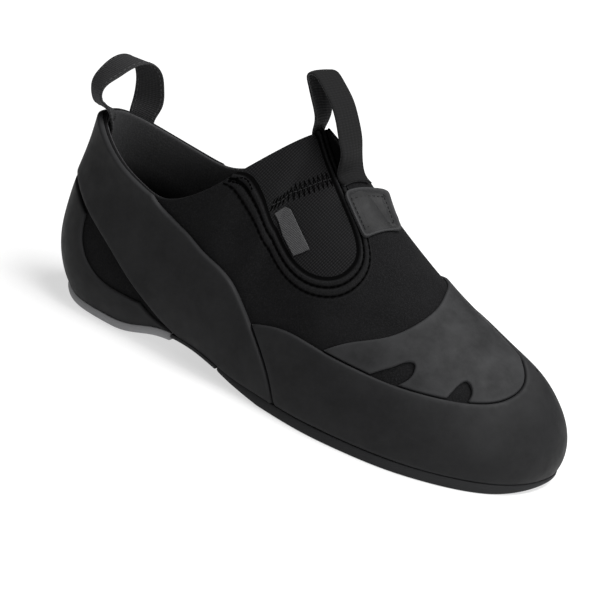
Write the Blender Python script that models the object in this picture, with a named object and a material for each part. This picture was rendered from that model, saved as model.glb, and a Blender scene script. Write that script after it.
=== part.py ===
import math

import bmesh
import bpy
import numpy as np
from mathutils.geometry import delaunay_2d_cdt

# A right climbing shoe that stands on its sole: x runs from heel to toe, +y is the inner side, z is up.
# Every length is in metres. The tables hold shares of the named sizes.

for thing in list(bpy.data.objects):
    bpy.data.objects.remove(thing)
SHOE = bpy.data.objects.new("shoe_frame", None)
bpy.context.scene.collection.objects.link(SHOE)

LENGTH = 0.2525
BALL_WIDTH = 0.084
HEEL_HEIGHT = 0.0855
INSTEP_HEIGHT = 0.111
ARCH_RISE = 0.011
WALL = 0.002
MARGIN = 0.009
GAP = 0.00035
RAND = 0.0016
STRAP = 0.0022
CUP = 0.0015
PATCH = 0.0011
GORE = 0.0014
OUTSOLE = 0.00465
HEEL_SOLE = 0.0046
ARCH_RUBBER = 0.0018
INSOLE = 0.0016
BADGE = 0.0022
TAG = 0.0005
WEBBING = 0.0012
FRONT_WEB_WIDTH = 0.020
FRONT_LOOP_RISE = 0.024
HEEL_WEB_WIDTH = 0.014
HEEL_LOOP_RISE = 0.026
SEAM = 0.0005

# Feather line, where the upper meets the soles.
# Columns: share of length, outer and inner side as shares of ball width, then outer and inner lift as shares
# of arch rise.
FEATHER = [
    (0.051, 0.000, 0.000, 0.40, 0.40),
    (0.063, -0.119, 0.119, 0.26, 0.26),
    (0.106, -0.232, 0.232, 0.03, 0.03),
    (0.169, -0.292, 0.292, 0.00, 0.00),
    (0.232, -0.315, 0.304, 0.05, 0.10),
    (0.291, -0.327, 0.298, 0.42, 0.65),
    (0.346, -0.345, 0.304, 0.58, 0.97),
    (0.398, -0.369, 0.321, 0.50, 0.82),
    (0.445, -0.393, 0.340, 0.28, 0.45),
    (0.492, -0.417, 0.363, 0.10, 0.17),
    (0.567, -0.464, 0.417, 0.02, 0.02),
    (0.646, -0.506, 0.470, 0.00, 0.00),
    (0.724, -0.512, 0.494, 0.00, 0.00),
    (0.799, -0.488, 0.488, 0.00, 0.00),
    (0.870, -0.417, 0.458, 0.00, 0.00),
    (0.929, -0.310, 0.405, 0.00, 0.00),
    (0.978, -0.131, 0.298, 0.00, 0.00),
    (0.998, 0.107, 0.107, 0.00, 0.00),
]

# Collar edge along the heel.
# Columns: shares of length, ball width and heel height for the outer side, then for the inner side.
COLLAR = [
    (0.039, 0.000, 1.000, 0.039, 0.000, 1.000),
    (0.047, -0.077, 0.990, 0.048, 0.083, 1.005),
    (0.083, -0.161, 0.921, 0.083, 0.179, 0.971),
    (0.142, -0.250, 0.841, 0.140, 0.262, 0.915),
    (0.201, -0.292, 0.784, 0.201, 0.298, 0.872),
    (0.256, -0.310, 0.768, 0.260, 0.304, 0.863),
]

# Cuff edge from the quarters up to the top of the instep.
# Columns: shares of length, ball width and instep height for the outer side, then for the inner side.
CUFF = [
    (0.315, -0.304, 0.664, 0.315, 0.292, 0.715),
    (0.366, -0.262, 0.776, 0.364, 0.250, 0.795),
    (0.432, -0.107, 0.942, 0.432, 0.200, 0.946),
    (0.461, 0.071, 1.000, 0.461, 0.071, 1.000),
]

# Ridge of the instep and toe, in front of the cuff.
# Columns: shares of length, ball width and instep height.
RIDGE = [
    (0.461, 0.071, 1.000),
    (0.541, 0.050, 0.886),
    (0.625, 0.042, 0.757),
    (0.704, 0.056, 0.634),
    (0.780, 0.083, 0.532),
    (0.846, 0.107, 0.456),
    (0.890, 0.125, 0.415),
    (0.914, 0.131, 0.392),
    (0.924, 0.137, 0.381),
]

# How each section leaves the feather line and reaches the top.
# Columns: lean and pull at the bottom, heading, lean and pull at the top for the outer side, then the same
# for the inner side.
# Leans and headings are in degrees, pulls are shares of the distance from bottom to top.
SHAPE = [
    (43, 0.32, 180, 86, 0.38, 43, 0.32, 180, 86, 0.38),
    (45, 0.31, 150, 86, 0.36, 45, 0.31, 150, 86, 0.36),
    (48, 0.30, 115, 88, 0.33, 48, 0.30, 115, 88, 0.33),
    (50, 0.28, 98, 92, 0.30, 50, 0.28, 98, 92, 0.30),
    (50, 0.27, 92, 93, 0.30, 50, 0.27, 92, 93, 0.30),
    (48, 0.26, 90, 92, 0.30, 46, 0.26, 90, 92, 0.30),
    (48, 0.25, 90, 86, 0.30, 44, 0.26, 90, 88, 0.30),
    (52, 0.24, 90, 72, 0.28, 46, 0.25, 90, 74, 0.28),
    (58, 0.23, 90, 46, 0.24, 52, 0.24, 90, 48, 0.24),
    (64, 0.22, 90, 12, 0.20, 60, 0.22, 90, 12, 0.20),
    (70, 0.24, 90, 0, 0.22, 66, 0.23, 90, 0, 0.22),
    (74, 0.26, 90, 0, 0.25, 72, 0.26, 90, 0, 0.25),
    (76, 0.28, 90, 0, 0.28, 76, 0.30, 90, 0, 0.28),
    (76, 0.30, 90, 2, 0.30, 76, 0.33, 90, 2, 0.30),
    (74, 0.32, 80, 8, 0.32, 74, 0.34, 76, 8, 0.32),
    (70, 0.32, 66, 16, 0.33, 70, 0.32, 58, 18, 0.33),
    (67, 0.32, 40, 26, 0.34, 67, 0.32, 30, 28, 0.34),
    (64, 0.32, 0, 33, 0.34, 64, 0.32, 0, 33, 0.34),
]

def bend(knots, values, periodic=False):
    """Second slopes of a cubic spline through the values, closed or with free ends."""
    count = len(knots)
    if periodic:
        n = count - 1
        gaps = np.diff(knots)
        system = np.zeros((n, n))
        right = np.zeros((n, values.shape[1]))
        for i in range(n):
            before, after = gaps[i - 1], gaps[i]
            system[i, i - 1] += before
            system[i, i] += 2 * (before + after)
            system[i, (i + 1) % n] += after
            rise = (values[i + 1] - values[i]) / after
            fall = (values[i] - values[i - 1 if i else n - 1]) / before
            right[i] = 6 * (rise - fall)
        inner = np.linalg.solve(system, right)
        return np.vstack([inner, inner[:1]])
    gaps = np.diff(knots)
    system = np.eye(count)
    right = np.zeros((count, values.shape[1]))
    for i in range(1, count - 1):
        system[i, i - 1] = gaps[i - 1]
        system[i, i] = 2 * (gaps[i - 1] + gaps[i])
        system[i, i + 1] = gaps[i]
        rise = (values[i + 1] - values[i]) / gaps[i]
        fall = (values[i] - values[i - 1]) / gaps[i - 1]
        right[i] = 6 * (rise - fall)
    return np.linalg.solve(system, right)


class Spline:
    """A cubic spline through a table of values, one row per knot."""

    def __init__(self, knots, values, periodic=False):
        self.knots = np.asarray(knots, float)
        self.values = np.asarray(values, float).reshape(len(knots), -1)
        self.second = bend(self.knots, self.values, periodic)

    def __call__(self, u):
        u = np.clip(np.asarray(u, float), self.knots[0], self.knots[-1])
        i = np.clip(np.searchsorted(self.knots, u, side="right") - 1, 0, len(self.knots) - 2)
        h = (self.knots[i + 1] - self.knots[i])[..., None]
        b = (u - self.knots[i])[..., None] / h
        a = 1 - b
        flat = a * self.values[i] + b * self.values[i + 1]
        extra = (a ** 3 - a) * self.second[i] + (b ** 3 - b) * self.second[i + 1]
        return flat + extra * h * h / 6


def both_sides(outer, inner):
    """Joins outer rows 0..N and inner rows N..0 into one closed table."""
    return list(outer) + list(inner)[-2::-1]


HEEL_SOLE_END = 0.23
SOLE_BLEND = 0.25


def under_sole(share):
    """Thickness of sole below the feather line: the heel sole behind the arch, the outsole in front of it."""
    blend = min(max((share - HEEL_SOLE_END) / SOLE_BLEND, 0.0), 1.0)
    return GAP + HEEL_SOLE + (OUTSOLE - HEEL_SOLE) * blend


def feather_table():
    outer = [(x * LENGTH, yo * BALL_WIDTH, under_sole(x) + zo * ARCH_RISE) for x, yo, yi, zo, zi in FEATHER]
    inner = [(x * LENGTH, yi * BALL_WIDTH, under_sole(x) + zi * ARCH_RISE) for x, yo, yi, zo, zi in FEATHER]
    return both_sides(outer, inner)


def scaled(rows, height, first=0):
    """Three columns of a table from the given one on, as lengths."""
    size = (LENGTH, BALL_WIDTH, height)
    return [tuple(c * s for c, s in zip(row[first:first + 3], size)) for row in rows]


def edge_table():
    """The opening's edge from the inner side of the tongue round the heel to the outer side."""
    outer = scaled(COLLAR, HEEL_HEIGHT) + scaled(CUFF, INSTEP_HEIGHT)
    inner = scaled(COLLAR, HEEL_HEIGHT, 3) + scaled(CUFF, INSTEP_HEIGHT, 3)
    return inner[:0:-1] + outer


ROWS = len(FEATHER) - 1
TONGUE = len(COLLAR) + len(CUFF) - 1
ROUND = 2 * ROWS
FOOT = Spline(range(ROUND + 1), feather_table(), periodic=True)
EDGE = Spline(range(-TONGUE, TONGUE + 1), edge_table())
RIDGE_LINE = scaled(RIDGE, INSTEP_HEIGHT)
BACKBONE = Spline(range(TONGUE, ROUND - TONGUE + 1), both_sides(RIDGE_LINE, RIDGE_LINE))
OUTER_LEANS = [row[:2] + row[3:5] for row in SHAPE]
INNER_LEANS = [row[5:7] + row[8:] for row in SHAPE]
LEANS = Spline(range(ROUND + 1), both_sides(OUTER_LEANS, INNER_LEANS), True)
HEADINGS = Spline(range(ROUND + 1), both_sides([(row[2],) for row in SHAPE], [(-row[7],) for row in SHAPE]))
UP = np.array([0.0, 0.0, 1.0])
ROW_NUDGE = 0.02
HEIGHT_NUDGE = 0.004


def unit(v):
    return v / np.maximum(np.linalg.norm(v, axis=-1, keepdims=True), 1e-12)


def inward(t):
    """The level direction that points into the shoe from the feather line."""
    ahead = FOOT((t + ROW_NUDGE / 2) % ROUND) - FOOT((t - ROW_NUDGE / 2) % ROUND)
    return unit(np.stack([-ahead[..., 1], ahead[..., 0], 0 * ahead[..., 2]], -1))


def top(t):
    """The opening's edge or the ridge at each row."""
    wrapped = np.where(t > ROWS, t - ROUND, t)
    on_edge = np.abs(wrapped) <= TONGUE
    return np.where(on_edge[..., None], EDGE(wrapped), BACKBONE(t))


RUN = np.linspace(0, ROWS, 400)
OUTER_LINE = FOOT(RUN)
INNER_LINE = FOOT(ROUND - RUN)


def sole_height(x, y):
    """Height of the upper's underside, level lengthwise with the feather line on each side."""
    low = [np.interp(x, OUTER_LINE[:, 0], OUTER_LINE[:, i]) for i in (1, 2)]
    high = [np.interp(x, INNER_LINE[:, 0], INNER_LINE[:, i]) for i in (1, 2)]
    share = np.clip((y - low[0]) / np.maximum(high[0] - low[0], 1e-6), 0, 1)
    return low[1] + (high[1] - low[1]) * share


def base(t, s):
    """The outer face of the upper.

    t counts the rows round the shoe from the heel over the outer side; s is 0 at the feather line, 1 at the
    top and -1 at the rim of the margin that is turned in under the foot.
    """
    t, s = np.broadcast_arrays(np.asarray(t, float) % ROUND, np.asarray(s, float))
    foot, head, into, lean = FOOT(t), top(t), inward(t), LEANS(t)
    low, high, turn = np.radians(lean[..., 0:1]), np.radians(lean[..., 2:3]), np.radians(HEADINGS(t))
    span = np.linalg.norm(head - foot, axis=-1, keepdims=True)
    leave = (UP * np.sin(low) - into * np.cos(low)) * lean[..., 1:2] * span
    level = np.concatenate([-np.cos(turn), np.sin(turn), 0 * turn], -1)
    arrive = (UP * np.sin(high) + level * np.cos(high)) * lean[..., 3:4] * span
    b = np.clip(s, 0, 1)[..., None]
    a = 1 - b
    side = a ** 3 * foot + 3 * a * a * b * (foot + leave) + 3 * a * b * b * (head - arrive) + b ** 3 * head
    under = foot - into * np.minimum(s, 0)[..., None] * MARGIN
    under = np.concatenate([under[..., :2], sole_height(under[..., 0], under[..., 1])[..., None]], -1)
    return np.where(s[..., None] >= 0, side, under)


def facing(t, s):
    """The outward normal of the side of the upper."""
    inside = np.clip(s, HEIGHT_NUDGE, 0.99)
    along = base(t + ROW_NUDGE, inside) - base(t - ROW_NUDGE, inside)
    rise = base(t, inside + HEIGHT_NUDGE) - base(t, inside - HEIGHT_NUDGE)
    return unit(np.cross(along, rise))


def skin(t, s, depth):
    """A place at the given depth outside (+) or inside (-) the outer face of the upper."""
    t, s = np.broadcast_arrays(np.asarray(t, float), np.asarray(s, float))
    depth = np.broadcast_to(np.asarray(depth, float), t.shape)[..., None]
    side = facing(t, s)
    out = -inward(t % ROUND)
    level = out / np.maximum((out * side).sum(-1, keepdims=True), 0.5)
    corner = (side - UP) / (1 - side[..., 2:3])
    seat = np.where(depth > 0, level, corner)
    height = s[..., None]
    way = np.where(height < -1e-6, -UP, np.where(height < 1e-6, seat, side))
    return base(t, s) + way * depth


# Edges of the rubber and the cloth on the upper, as rows round the shoe and shares of the way up.
# A height over 1 lies past the ridge on the inner side. Columns: row, height.
STRAP_FRONT = [
    (4.55, 1.0), (5.12, 0.9), (5.65, 0.79), (6.25, 0.684), (7.16, 0.531), (8.15, 0.38), (9.1, 0.263),
    (9.58, 0.19), (9.94, 0.09), (10.1, 0.0),
]
STRAP_REAR = [
    (6.2, 0.0), (5.7, 0.07), (4.7, 0.285), (3.7, 0.455), (2.9, 0.54), (2.2, 0.59), (1.5, 0.635), (0.8, 0.655),
    (0.0, 0.66),
]
HEEL_FRONT = 5.8
HEEL_STEPS = 30
CUP_SEAM = [(HEEL_FRONT, 0.0), (5.45, 0.045), (4.6, 0.235)]
CUP_WINDOW = [(4.6, 0.235), (3.9, 0.262), (3.2, 0.27), (2.7, 0.315), (2.35, 0.39), (2.2, 0.47), (2.17, 0.56)]
CUP_TOP = [(2.17, 0.56), (1.5, 0.61), (0.8, 0.635), (0.0, 0.64)]
RAND_TOP = [
    (9.15, 0.262), (10.0, 0.305), (10.9, 0.322), (11.85, 0.342), (12.7, 0.37), (13.5, 0.42), (14.1, 0.476),
    (14.75, 0.572), (15.1, 0.66), (15.36, 0.77), (15.4, 0.88), (15.15, 1.0),
]
RAND_TOP_INSIDE = [
    (15.15, 1.0), (14.4, 1.08), (13.5, 1.17), (12.6, 1.29), (11.7, 1.42), (10.8, 1.54), (10.0, 1.63),
    (9.15, 1.738),
]
RAND_STEPS = 46
PATCH_REAR = [
    (10.95, 0.33), (11.34, 0.4), (12.1, 0.53), (12.5, 0.67), (12.65, 0.82), (12.58, 0.95), (12.45, 1.06),
    (12.2, 1.18), (11.8, 1.31), (11.35, 1.42), (10.95, 1.52),
]
TOE_NOTCHES = [
    [(12.03, 0.352), (12.2, 0.388), (12.45, 0.44), (12.66, 0.49), (12.78, 0.502), (12.84, 0.475),
     (12.66, 0.377)],
    [(13.64, 0.442), (13.69, 0.49), (13.77, 0.55), (13.88, 0.582), (14.0, 0.565), (14.06, 0.482)],
]
NOTCH_CLEAR = 0.03
GORE_EDGE = [
    (7.0, 1.0), (7.22, 0.945), (7.58, 0.825), (8.1, 0.675), (8.75, 0.562), (9.3, 0.51), (9.7, 0.49),
    (10.05, 0.492), (10.4, 0.516), (10.7, 0.562), (10.87, 0.625), (10.87, 0.69), (10.68, 0.737),
    (10.38, 0.77), (9.95, 0.805), (9.5, 0.846), (9.15, 0.89), (8.85, 0.943), (8.62, 1.0),
]
BADGE_CORNERS = [(10.03, 0.812), (10.81, 0.75), (11.23, 0.985), (10.48, 1.06)]
BADGE_ROUND = 0.14
TAG_EDGE = [
    (8.68, 0.605), (9.22, 0.54), (9.62, 0.512), (9.77, 0.536), (9.91, 0.564), (9.55, 0.59), (9.16, 0.62),
    (8.94, 0.613),
]

# Rough size of one row and of the whole height of the upper, for even triangles.
ROW_SIZE = 0.016
SIDE_SIZE = 0.088
HALF_GRID = [np.arange(0, 2, 0.4), np.arange(2, 13, 0.5), np.arange(13, ROWS, 0.4)]
ROW_GRID = np.concatenate([*HALF_GRID, [ROWS], *[ROUND - run[::-1] for run in HALF_GRID[::-1]]])
HEIGHT_GRID = np.array([0.05, 0.14, 0.24, 0.34, 0.44, 0.54, 0.64, 0.74, 0.84, 0.93])
PANEL_CLEAR = 0.0032
ROW_CLEAR = 0.1
SAME_SPOT = 2e-5
SHARP_ANGLE = math.radians(40)


def flat(points):
    """Chart places on an even scale."""
    points = np.asarray(points, float).reshape(-1, 2)
    tall = np.where(points[:, 1] < 0, MARGIN, SIDE_SIZE)
    return np.stack([points[:, 0] * ROW_SIZE, points[:, 1] * tall], -1)


def curve(points, step=0.007, scale=flat):
    """Even places on the smooth curve through the points, both ends kept."""
    points = np.asarray(points, float)
    run = np.concatenate([[0], np.cumsum(np.linalg.norm(np.diff(scale(points), axis=0), axis=1))])
    count = max(int(math.ceil(run[-1] / step)), 1)
    return Spline(run, points)(np.linspace(0, run[-1], count + 1))


def line(start, end, steps):
    share = np.linspace(0, 1, steps + 1)[:, None]
    return np.asarray(start) * (1 - share) + np.asarray(end) * share


def top_run(start, end):
    """Places along the top from one row to another."""
    inner = ROW_GRID[(ROW_GRID > start + ROW_CLEAR) & (ROW_GRID < end - ROW_CLEAR)]
    return np.array([(t, 1.0) for t in (start, *inner, end)])


def chain(*runs):
    """One closed loop of places from runs that meet end to end."""
    return np.vstack([np.asarray(run)[:-1] for run in runs])


def mirrored(points):
    """The same places on the other side of the shoe, in the opposite order."""
    points = np.asarray(points, float)[::-1]
    return np.stack([ROUND - points[:, 0], points[:, 1]], -1)


def over_ridge(points):
    """Places counted over the ridge, as places on the inner side."""
    points = np.asarray(points, float)
    past = points[:, 1:] > 1
    return np.where(past, np.stack([ROUND - points[:, 0], 2 - points[:, 1]], -1), points)


def shifted(points, distance, scale=(ROW_SIZE, SIDE_SIZE)):
    """The curve moved to its left by a distance."""
    points = np.asarray(points, float)
    size = np.asarray(scale)
    ahead = unit(np.gradient(points * size, axis=0))
    return points + np.stack([-ahead[:, 1], ahead[:, 0]], -1) * distance / size


def contains(loop, points):
    """Which points lie inside the loop."""
    x, y = points[:, 0:1], points[:, 1:2]
    x0, y0 = loop[:, 0], loop[:, 1]
    x1, y1 = np.roll(x0, -1), np.roll(y0, -1)
    level = (y0 > y) != (y1 > y)
    cut = x0 + (y - y0) * (x1 - x0) / np.where(y1 == y0, 1e-12, y1 - y0)
    return (level & (x < cut)).sum(1) % 2 == 1


def distance_to(loop, points):
    """How far each point lies from the loop."""
    start, end = loop, np.roll(loop, -1, 0)
    way = end - start
    share = ((points[:, None] - start) * way).sum(-1) / np.maximum((way ** 2).sum(-1), 1e-18)
    near = start + np.clip(share, 0, 1)[..., None] * way
    return np.linalg.norm(points[:, None] - near, axis=-1).min(1)


def fill(loop, inner, scale, clearance, crease=None):
    """Triangles over a closed loop, with the given inner places that lie clear of it."""
    edge = scale(loop)
    inside = scale(inner)
    keep = contains(edge, inside)
    keep[keep] = distance_to(edge, inside[keep]) > clearance
    places = np.vstack([loop, np.asarray(inner)[keep]])
    count = len(loop)
    edges = [(i, (i + 1) % count) for i in range(count)]
    if crease is not None:
        first = len(places)
        ends = [int(np.abs(loop - end).sum(1).argmin()) for end in (crease[0], crease[-1])]
        places = np.vstack([places, crease[1:-1]])
        chain_of = [ends[0]] + list(range(first, len(places))) + [ends[1]]
        edges += list(zip(chain_of[:-1], chain_of[1:]))
    flat_places = scale(places) * 100
    verts, _, faces, origin, _, _ = delaunay_2d_cdt([tuple(p) for p in flat_places], edges, [], 0, 1e-6)
    source = [o[0] for o in origin]
    triangles = np.array([[source[i] for i in face] for face in faces])
    middle = flat_places[triangles].mean(1) / 100
    triangles = triangles[contains(edge, middle)]
    a, b, c = (flat_places[triangles[:, i]] for i in range(3))
    turned = (b[:, 0] - a[:, 0]) * (c[:, 1] - a[:, 1]) - (b[:, 1] - a[:, 1]) * (c[:, 0] - a[:, 0])
    triangles[turned < 0] = triangles[turned < 0][:, ::-1]
    return places, triangles[np.abs(turned) > 1e-9]


def grid(rows, heights):
    """Inner places in staggered lines."""
    half = (rows[:-1] + rows[1:]) / 2
    return np.array([(u, v) for i, v in enumerate(heights) for u in (rows if i % 2 else half)])


def thicken(name, spots, low, high, triangles, finish):
    """A closed solid between two matching sheets of points; points on one spot are joined."""
    keys = {}
    number = [keys.setdefault(tuple(np.round(p / SAME_SPOT).astype(int)), len(keys)) for p in spots]
    number = np.array(number)
    total = len(keys)
    weight = np.bincount(number, minlength=total)[:, None]
    lows = np.stack([np.bincount(number, low[:, i], total) for i in range(3)], -1) / weight
    highs = np.stack([np.bincount(number, high[:, i], total) for i in range(3)], -1) / weight
    faces = number[triangles]
    faces = faces[(faces[:, 0] != faces[:, 1]) & (faces[:, 1] != faces[:, 2]) & (faces[:, 2] != faces[:, 0])]
    directed = {(int(f[i]), int(f[(i + 1) % 3])) for f in faces for i in range(3)}
    rim = [(a, b) for a, b in directed if (b, a) not in directed]
    outside = [tuple(int(i) + total for i in f) for f in faces]
    inside = [tuple(int(i) for i in f[::-1]) for f in faces]
    walls = [(b + total, a + total, a, b) for a, b in sorted(rim)]
    return body(name, np.vstack([lows, highs]), outside + inside + walls, finish)


def body(name, points, faces, finish):
    """A named object from points and faces, with its own material."""
    mesh = bpy.data.meshes.new(name)
    mesh.from_pydata([tuple(p) for p in points], [], faces)
    shaped = bmesh.new()
    shaped.from_mesh(mesh)
    loose = [v for v in shaped.verts if not v.link_faces]
    bmesh.ops.delete(shaped, geom=loose, context="VERTS")
    shaped.to_mesh(mesh)
    shaped.free()
    mesh.shade_smooth()
    mesh.set_sharp_from_angle(angle=SHARP_ANGLE)
    material = bpy.data.materials.new(name)
    material.use_nodes = True
    shader = material.node_tree.nodes["Principled BSDF"]
    shader.inputs["Base Color"].default_value = (*finish[:3], 1)
    shader.inputs["Roughness"].default_value = finish[3]
    mesh.materials.append(material)
    thing = bpy.data.objects.new(name, mesh)
    bpy.context.scene.collection.objects.link(thing)
    thing.parent = SHOE
    return thing


def panel(name, loop, low, high, finish, crease=None, across=False):
    """A piece that follows the upper, between two depths, over a loop of chart places.

    The upper depth is a number or a function of the place.
    """
    rows = ROW_GRID
    if loop[:, 0].min() < 0:
        rows = np.concatenate([ROW_GRID[ROW_GRID > ROWS] - ROUND, ROW_GRID[ROW_GRID < ROWS]])
    heights = np.concatenate([[-0.5], HEIGHT_GRID])
    if across:
        heights = np.concatenate([HEIGHT_GRID, [1.0], 2 - HEIGHT_GRID[::-1]])
    places, triangles = fill(loop, grid(rows, heights), flat, PANEL_CLEAR, crease)
    if across:
        places = over_ridge(places)
    t, s = places[:, 0], places[:, 1]
    reach = high(t, s) if callable(high) else high
    return thicken(name, base(t, s), skin(t, s, low), skin(t, s, reach), triangles, finish)


# Finishes. Columns: red, green and blue of the base colour, then the roughness.
NEOPRENE = (0.012, 0.012, 0.013, 0.9)
RUBBER = (0.035, 0.036, 0.038, 0.55)
PATCH_RUBBER = (0.05, 0.051, 0.054, 0.6)
HEEL_RUBBER = (0.10, 0.10, 0.105, 0.6)
BADGE_RUBBER = (0.035, 0.036, 0.038, 0.5)
TAG_CLOTH = (0.10, 0.10, 0.105, 0.7)
WEB = (0.02, 0.02, 0.021, 0.8)
ELASTIC = (0.015, 0.015, 0.016, 0.85)
BOARD = (0.03, 0.03, 0.031, 0.9)


def make_upper():
    """The hollow upper with its two gore openings, open at the collar and under the foot."""
    gore = curve(GORE_EDGE)
    collar, strip_top = top_run(0.0, GORE_EDGE[0][0]), top_run(GORE_EDGE[-1][0], TONGUE)
    outer_top = np.vstack([chain(collar, gore, strip_top), top_run(TONGUE, ROWS)])
    whole_top = np.vstack([outer_top[:-1], mirrored(outer_top)])
    rim = np.array([(t, -1.0) for t in ROW_GRID])
    upright = np.array([(0.0, v) for v in [-1.0, -0.5, 0.0, *HEIGHT_GRID, 1.0]])
    right = upright + (ROUND, 0)
    loop = chain(rim, right, whole_top[::-1], upright[::-1])
    crease = np.array([(t, 0.0) for t in ROW_GRID])
    panel("upper", loop, -WALL, 0.0, NEOPRENE, crease)


GORE_SUNK = -(WALL - GORE) / 2


def make_gores():
    """Elastic gores that fill the openings in the upper, a seam's width clear of it."""
    edge = shifted(curve(GORE_EDGE), SEAM)
    edge[0], edge[-1] = (edge[0][0], 1.0), (edge[-1][0], 1.0)
    loop = chain(edge, line(edge[-1], edge[0], steps=4))
    panel("gore_outer", loop, GORE_SUNK - GORE, GORE_SUNK, ELASTIC)
    panel("gore_inner", mirrored(loop), GORE_SUNK - GORE, GORE_SUNK, ELASTIC)


def flipped(points):
    """The same places on the other side of the heel."""
    return np.asarray(points, float) * (-1, 1)


def make_strap():
    """The tensioned rubber strap that runs from the arch up and round the back of the heel."""
    front, rear = curve(STRAP_FRONT), curve(STRAP_REAR)
    collar = line((0.0, 1.0), front[0], steps=10)
    bottom = line(rear[0], front[-1], steps=8)
    side = np.vstack([collar[:-1], front])
    loop = chain(bottom, side[::-1], flipped(side), flipped(bottom)[::-1], flipped(rear), rear[::-1])
    panel("strap", loop, GAP, GAP + STRAP, RUBBER)


def make_heel_cup():
    """The rubber cup round the heel, with a window on each side behind the strap."""
    seam, window, crown = curve(CUP_SEAM), curve(CUP_WINDOW, step=0.005), curve(CUP_TOP)
    half = np.vstack([chain(seam, window), crown])
    bottom = line((-HEEL_FRONT, 0.0), (HEEL_FRONT, 0.0), HEEL_STEPS)
    loop = chain(bottom, half, flipped(half)[::-1])
    panel("heel_cup", loop, GAP, GAP + CUP, RUBBER)


def make_rand():
    """The rubber rand round the toe, closed over the tip, from a seam's width in front of the strap."""
    crown, inner = curve(RAND_TOP), over_ridge(curve(RAND_TOP_INSIDE))
    inner[0] = (ROUND - crown[-1][0], 1.0)
    strap_edge = shifted(curve(STRAP_FRONT), SEAM)[::-1]
    rear = np.vstack([strap_edge[strap_edge[:, 1] < crown[0][1] - SEAM / SIDE_SIZE], crown[:1]])
    rear[0, 1] = 0.0
    inner_rear = mirrored(rear)
    bottom = line(rear[0], inner_rear[-1], RAND_STEPS)
    ridge = top_run(crown[-1][0], ROWS)
    ridge = np.vstack([ridge[:-1], mirrored(ridge)])
    loop = chain(bottom, inner_rear[::-1], inner[::-1], ridge[::-1], crown[::-1], rear[::-1])
    panel("toe_rand", loop, GAP, GAP + RAND, RUBBER)


def make_toe_patch():
    """The thin rubber patch over the toes, notched at its outer edge where the upper shows."""
    rear = curve(PATCH_REAR)
    rand = np.vstack([curve(RAND_TOP)[:-1], curve(RAND_TOP_INSIDE)])
    front = shifted(rand, SEAM)
    front = front[(front[:, 0] > rear[0][0]) | (front[:, 1] > 1)]
    front = front[(front[:, 1] < 1) | (front[:, 0] > rear[-1][0] + 0.1)]
    for notch in TOE_NOTCHES:
        cut = curve(notch, step=0.004)
        first = int(np.argmax(front[:, 0] > cut[0][0] - NOTCH_CLEAR))
        last = int(np.argmax(front[:, 0] > cut[-1][0] + NOTCH_CLEAR))
        front = np.vstack([front[:first], cut, front[last:]])
    loop = np.vstack([rear[:1], front, rear[:0:-1]])
    panel("toe_patch", loop, GAP, GAP + PATCH, PATCH_RUBBER, across=True)


def make_badge():
    """The moulded badge that holds the front loop to the instep, flat on top and bare."""
    corners = np.array(BADGE_CORNERS)
    middle = corners.mean(0)
    loop = []
    for i, corner in enumerate(corners):
        before, after = corners[i - 1], corners[(i + 1) % len(corners)]
        start = corner + (before - corner) * BADGE_ROUND
        end = corner + (after - corner) * BADGE_ROUND
        loop += [start, corner + (middle - corner) * BADGE_ROUND / 2, end, (end + after) / 2]
    level = skin(*corners[:3].T, GAP + BADGE)
    out = np.cross(level[1] - level[0], level[2] - level[0])

    def flat_top(t, s):
        reach = ((level[0] - base(t, s)) * out).sum(-1) / (facing(t, s) * out).sum(-1)
        return np.clip(reach, BADGE / 2, BADGE * 2)

    panel("badge", np.array(loop), 2 * GAP, flat_top, BADGE_RUBBER, across=True)


def make_tag():
    """The small side tag on the outer gore, bare."""
    panel("side_tag", np.array(TAG_EDGE), GORE_SUNK + GAP, GORE_SUNK + GAP + TAG, TAG_CLOTH)


def rim(t, reach):
    """The outline of a sole that reaches out past the feather line, in plan."""
    lean = np.radians(LEANS(t)[:, 0:1])
    return (FOOT(t) - inward(t) * reach / np.sin(lean))[:, :2]


SLAB_CLEAR = 0.45


def slab(name, outline, low, high, step, finish):
    """A sole piece over an outline in plan, between two heights that are functions of the place."""
    lower, upper = outline.min(0), outline.max(0)
    xs = np.arange(lower[0], upper[0] + step, step)
    ys = np.arange(lower[1], upper[1] + step, step)
    places, triangles = fill(outline, grid(xs, ys), np.asarray, step * SLAB_CLEAR)
    sheets = [np.column_stack([places, height(places)]) for height in (low, high)]
    return thicken(name, sheets[1], sheets[0], sheets[1], triangles, finish)


def seat(places):
    """Top of the soles: under the upper inside the feather line, level with the nearest of it outside."""
    height = sole_height(places[:, 0], places[:, 1])
    outside = ~contains(FEATHER_LOOP[:, :2], places)
    away = places[outside][:, None] - FEATHER_LOOP[:, :2]
    height[outside] = FEATHER_LOOP[(away ** 2).sum(-1).argmin(1), 2]
    return height - GAP


def arc_rows(start, end, step):
    return np.linspace(start, end, int(math.ceil((end - start) / step)) + 1)


FEATHER_LOOP = FOOT(np.linspace(0, ROUND, 1400)[:-1])
OUTSOLE_REAR = 8.05
HEEL_EDGE = 0.001
HEEL_EDGE_WIDTH = 0.008
TOE_LIFT = 0.002
TOE_LIFT_RUN = 0.016
OUTSOLE_TAPER = 0.024
OUTSOLE_THIN = 0.5


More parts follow.
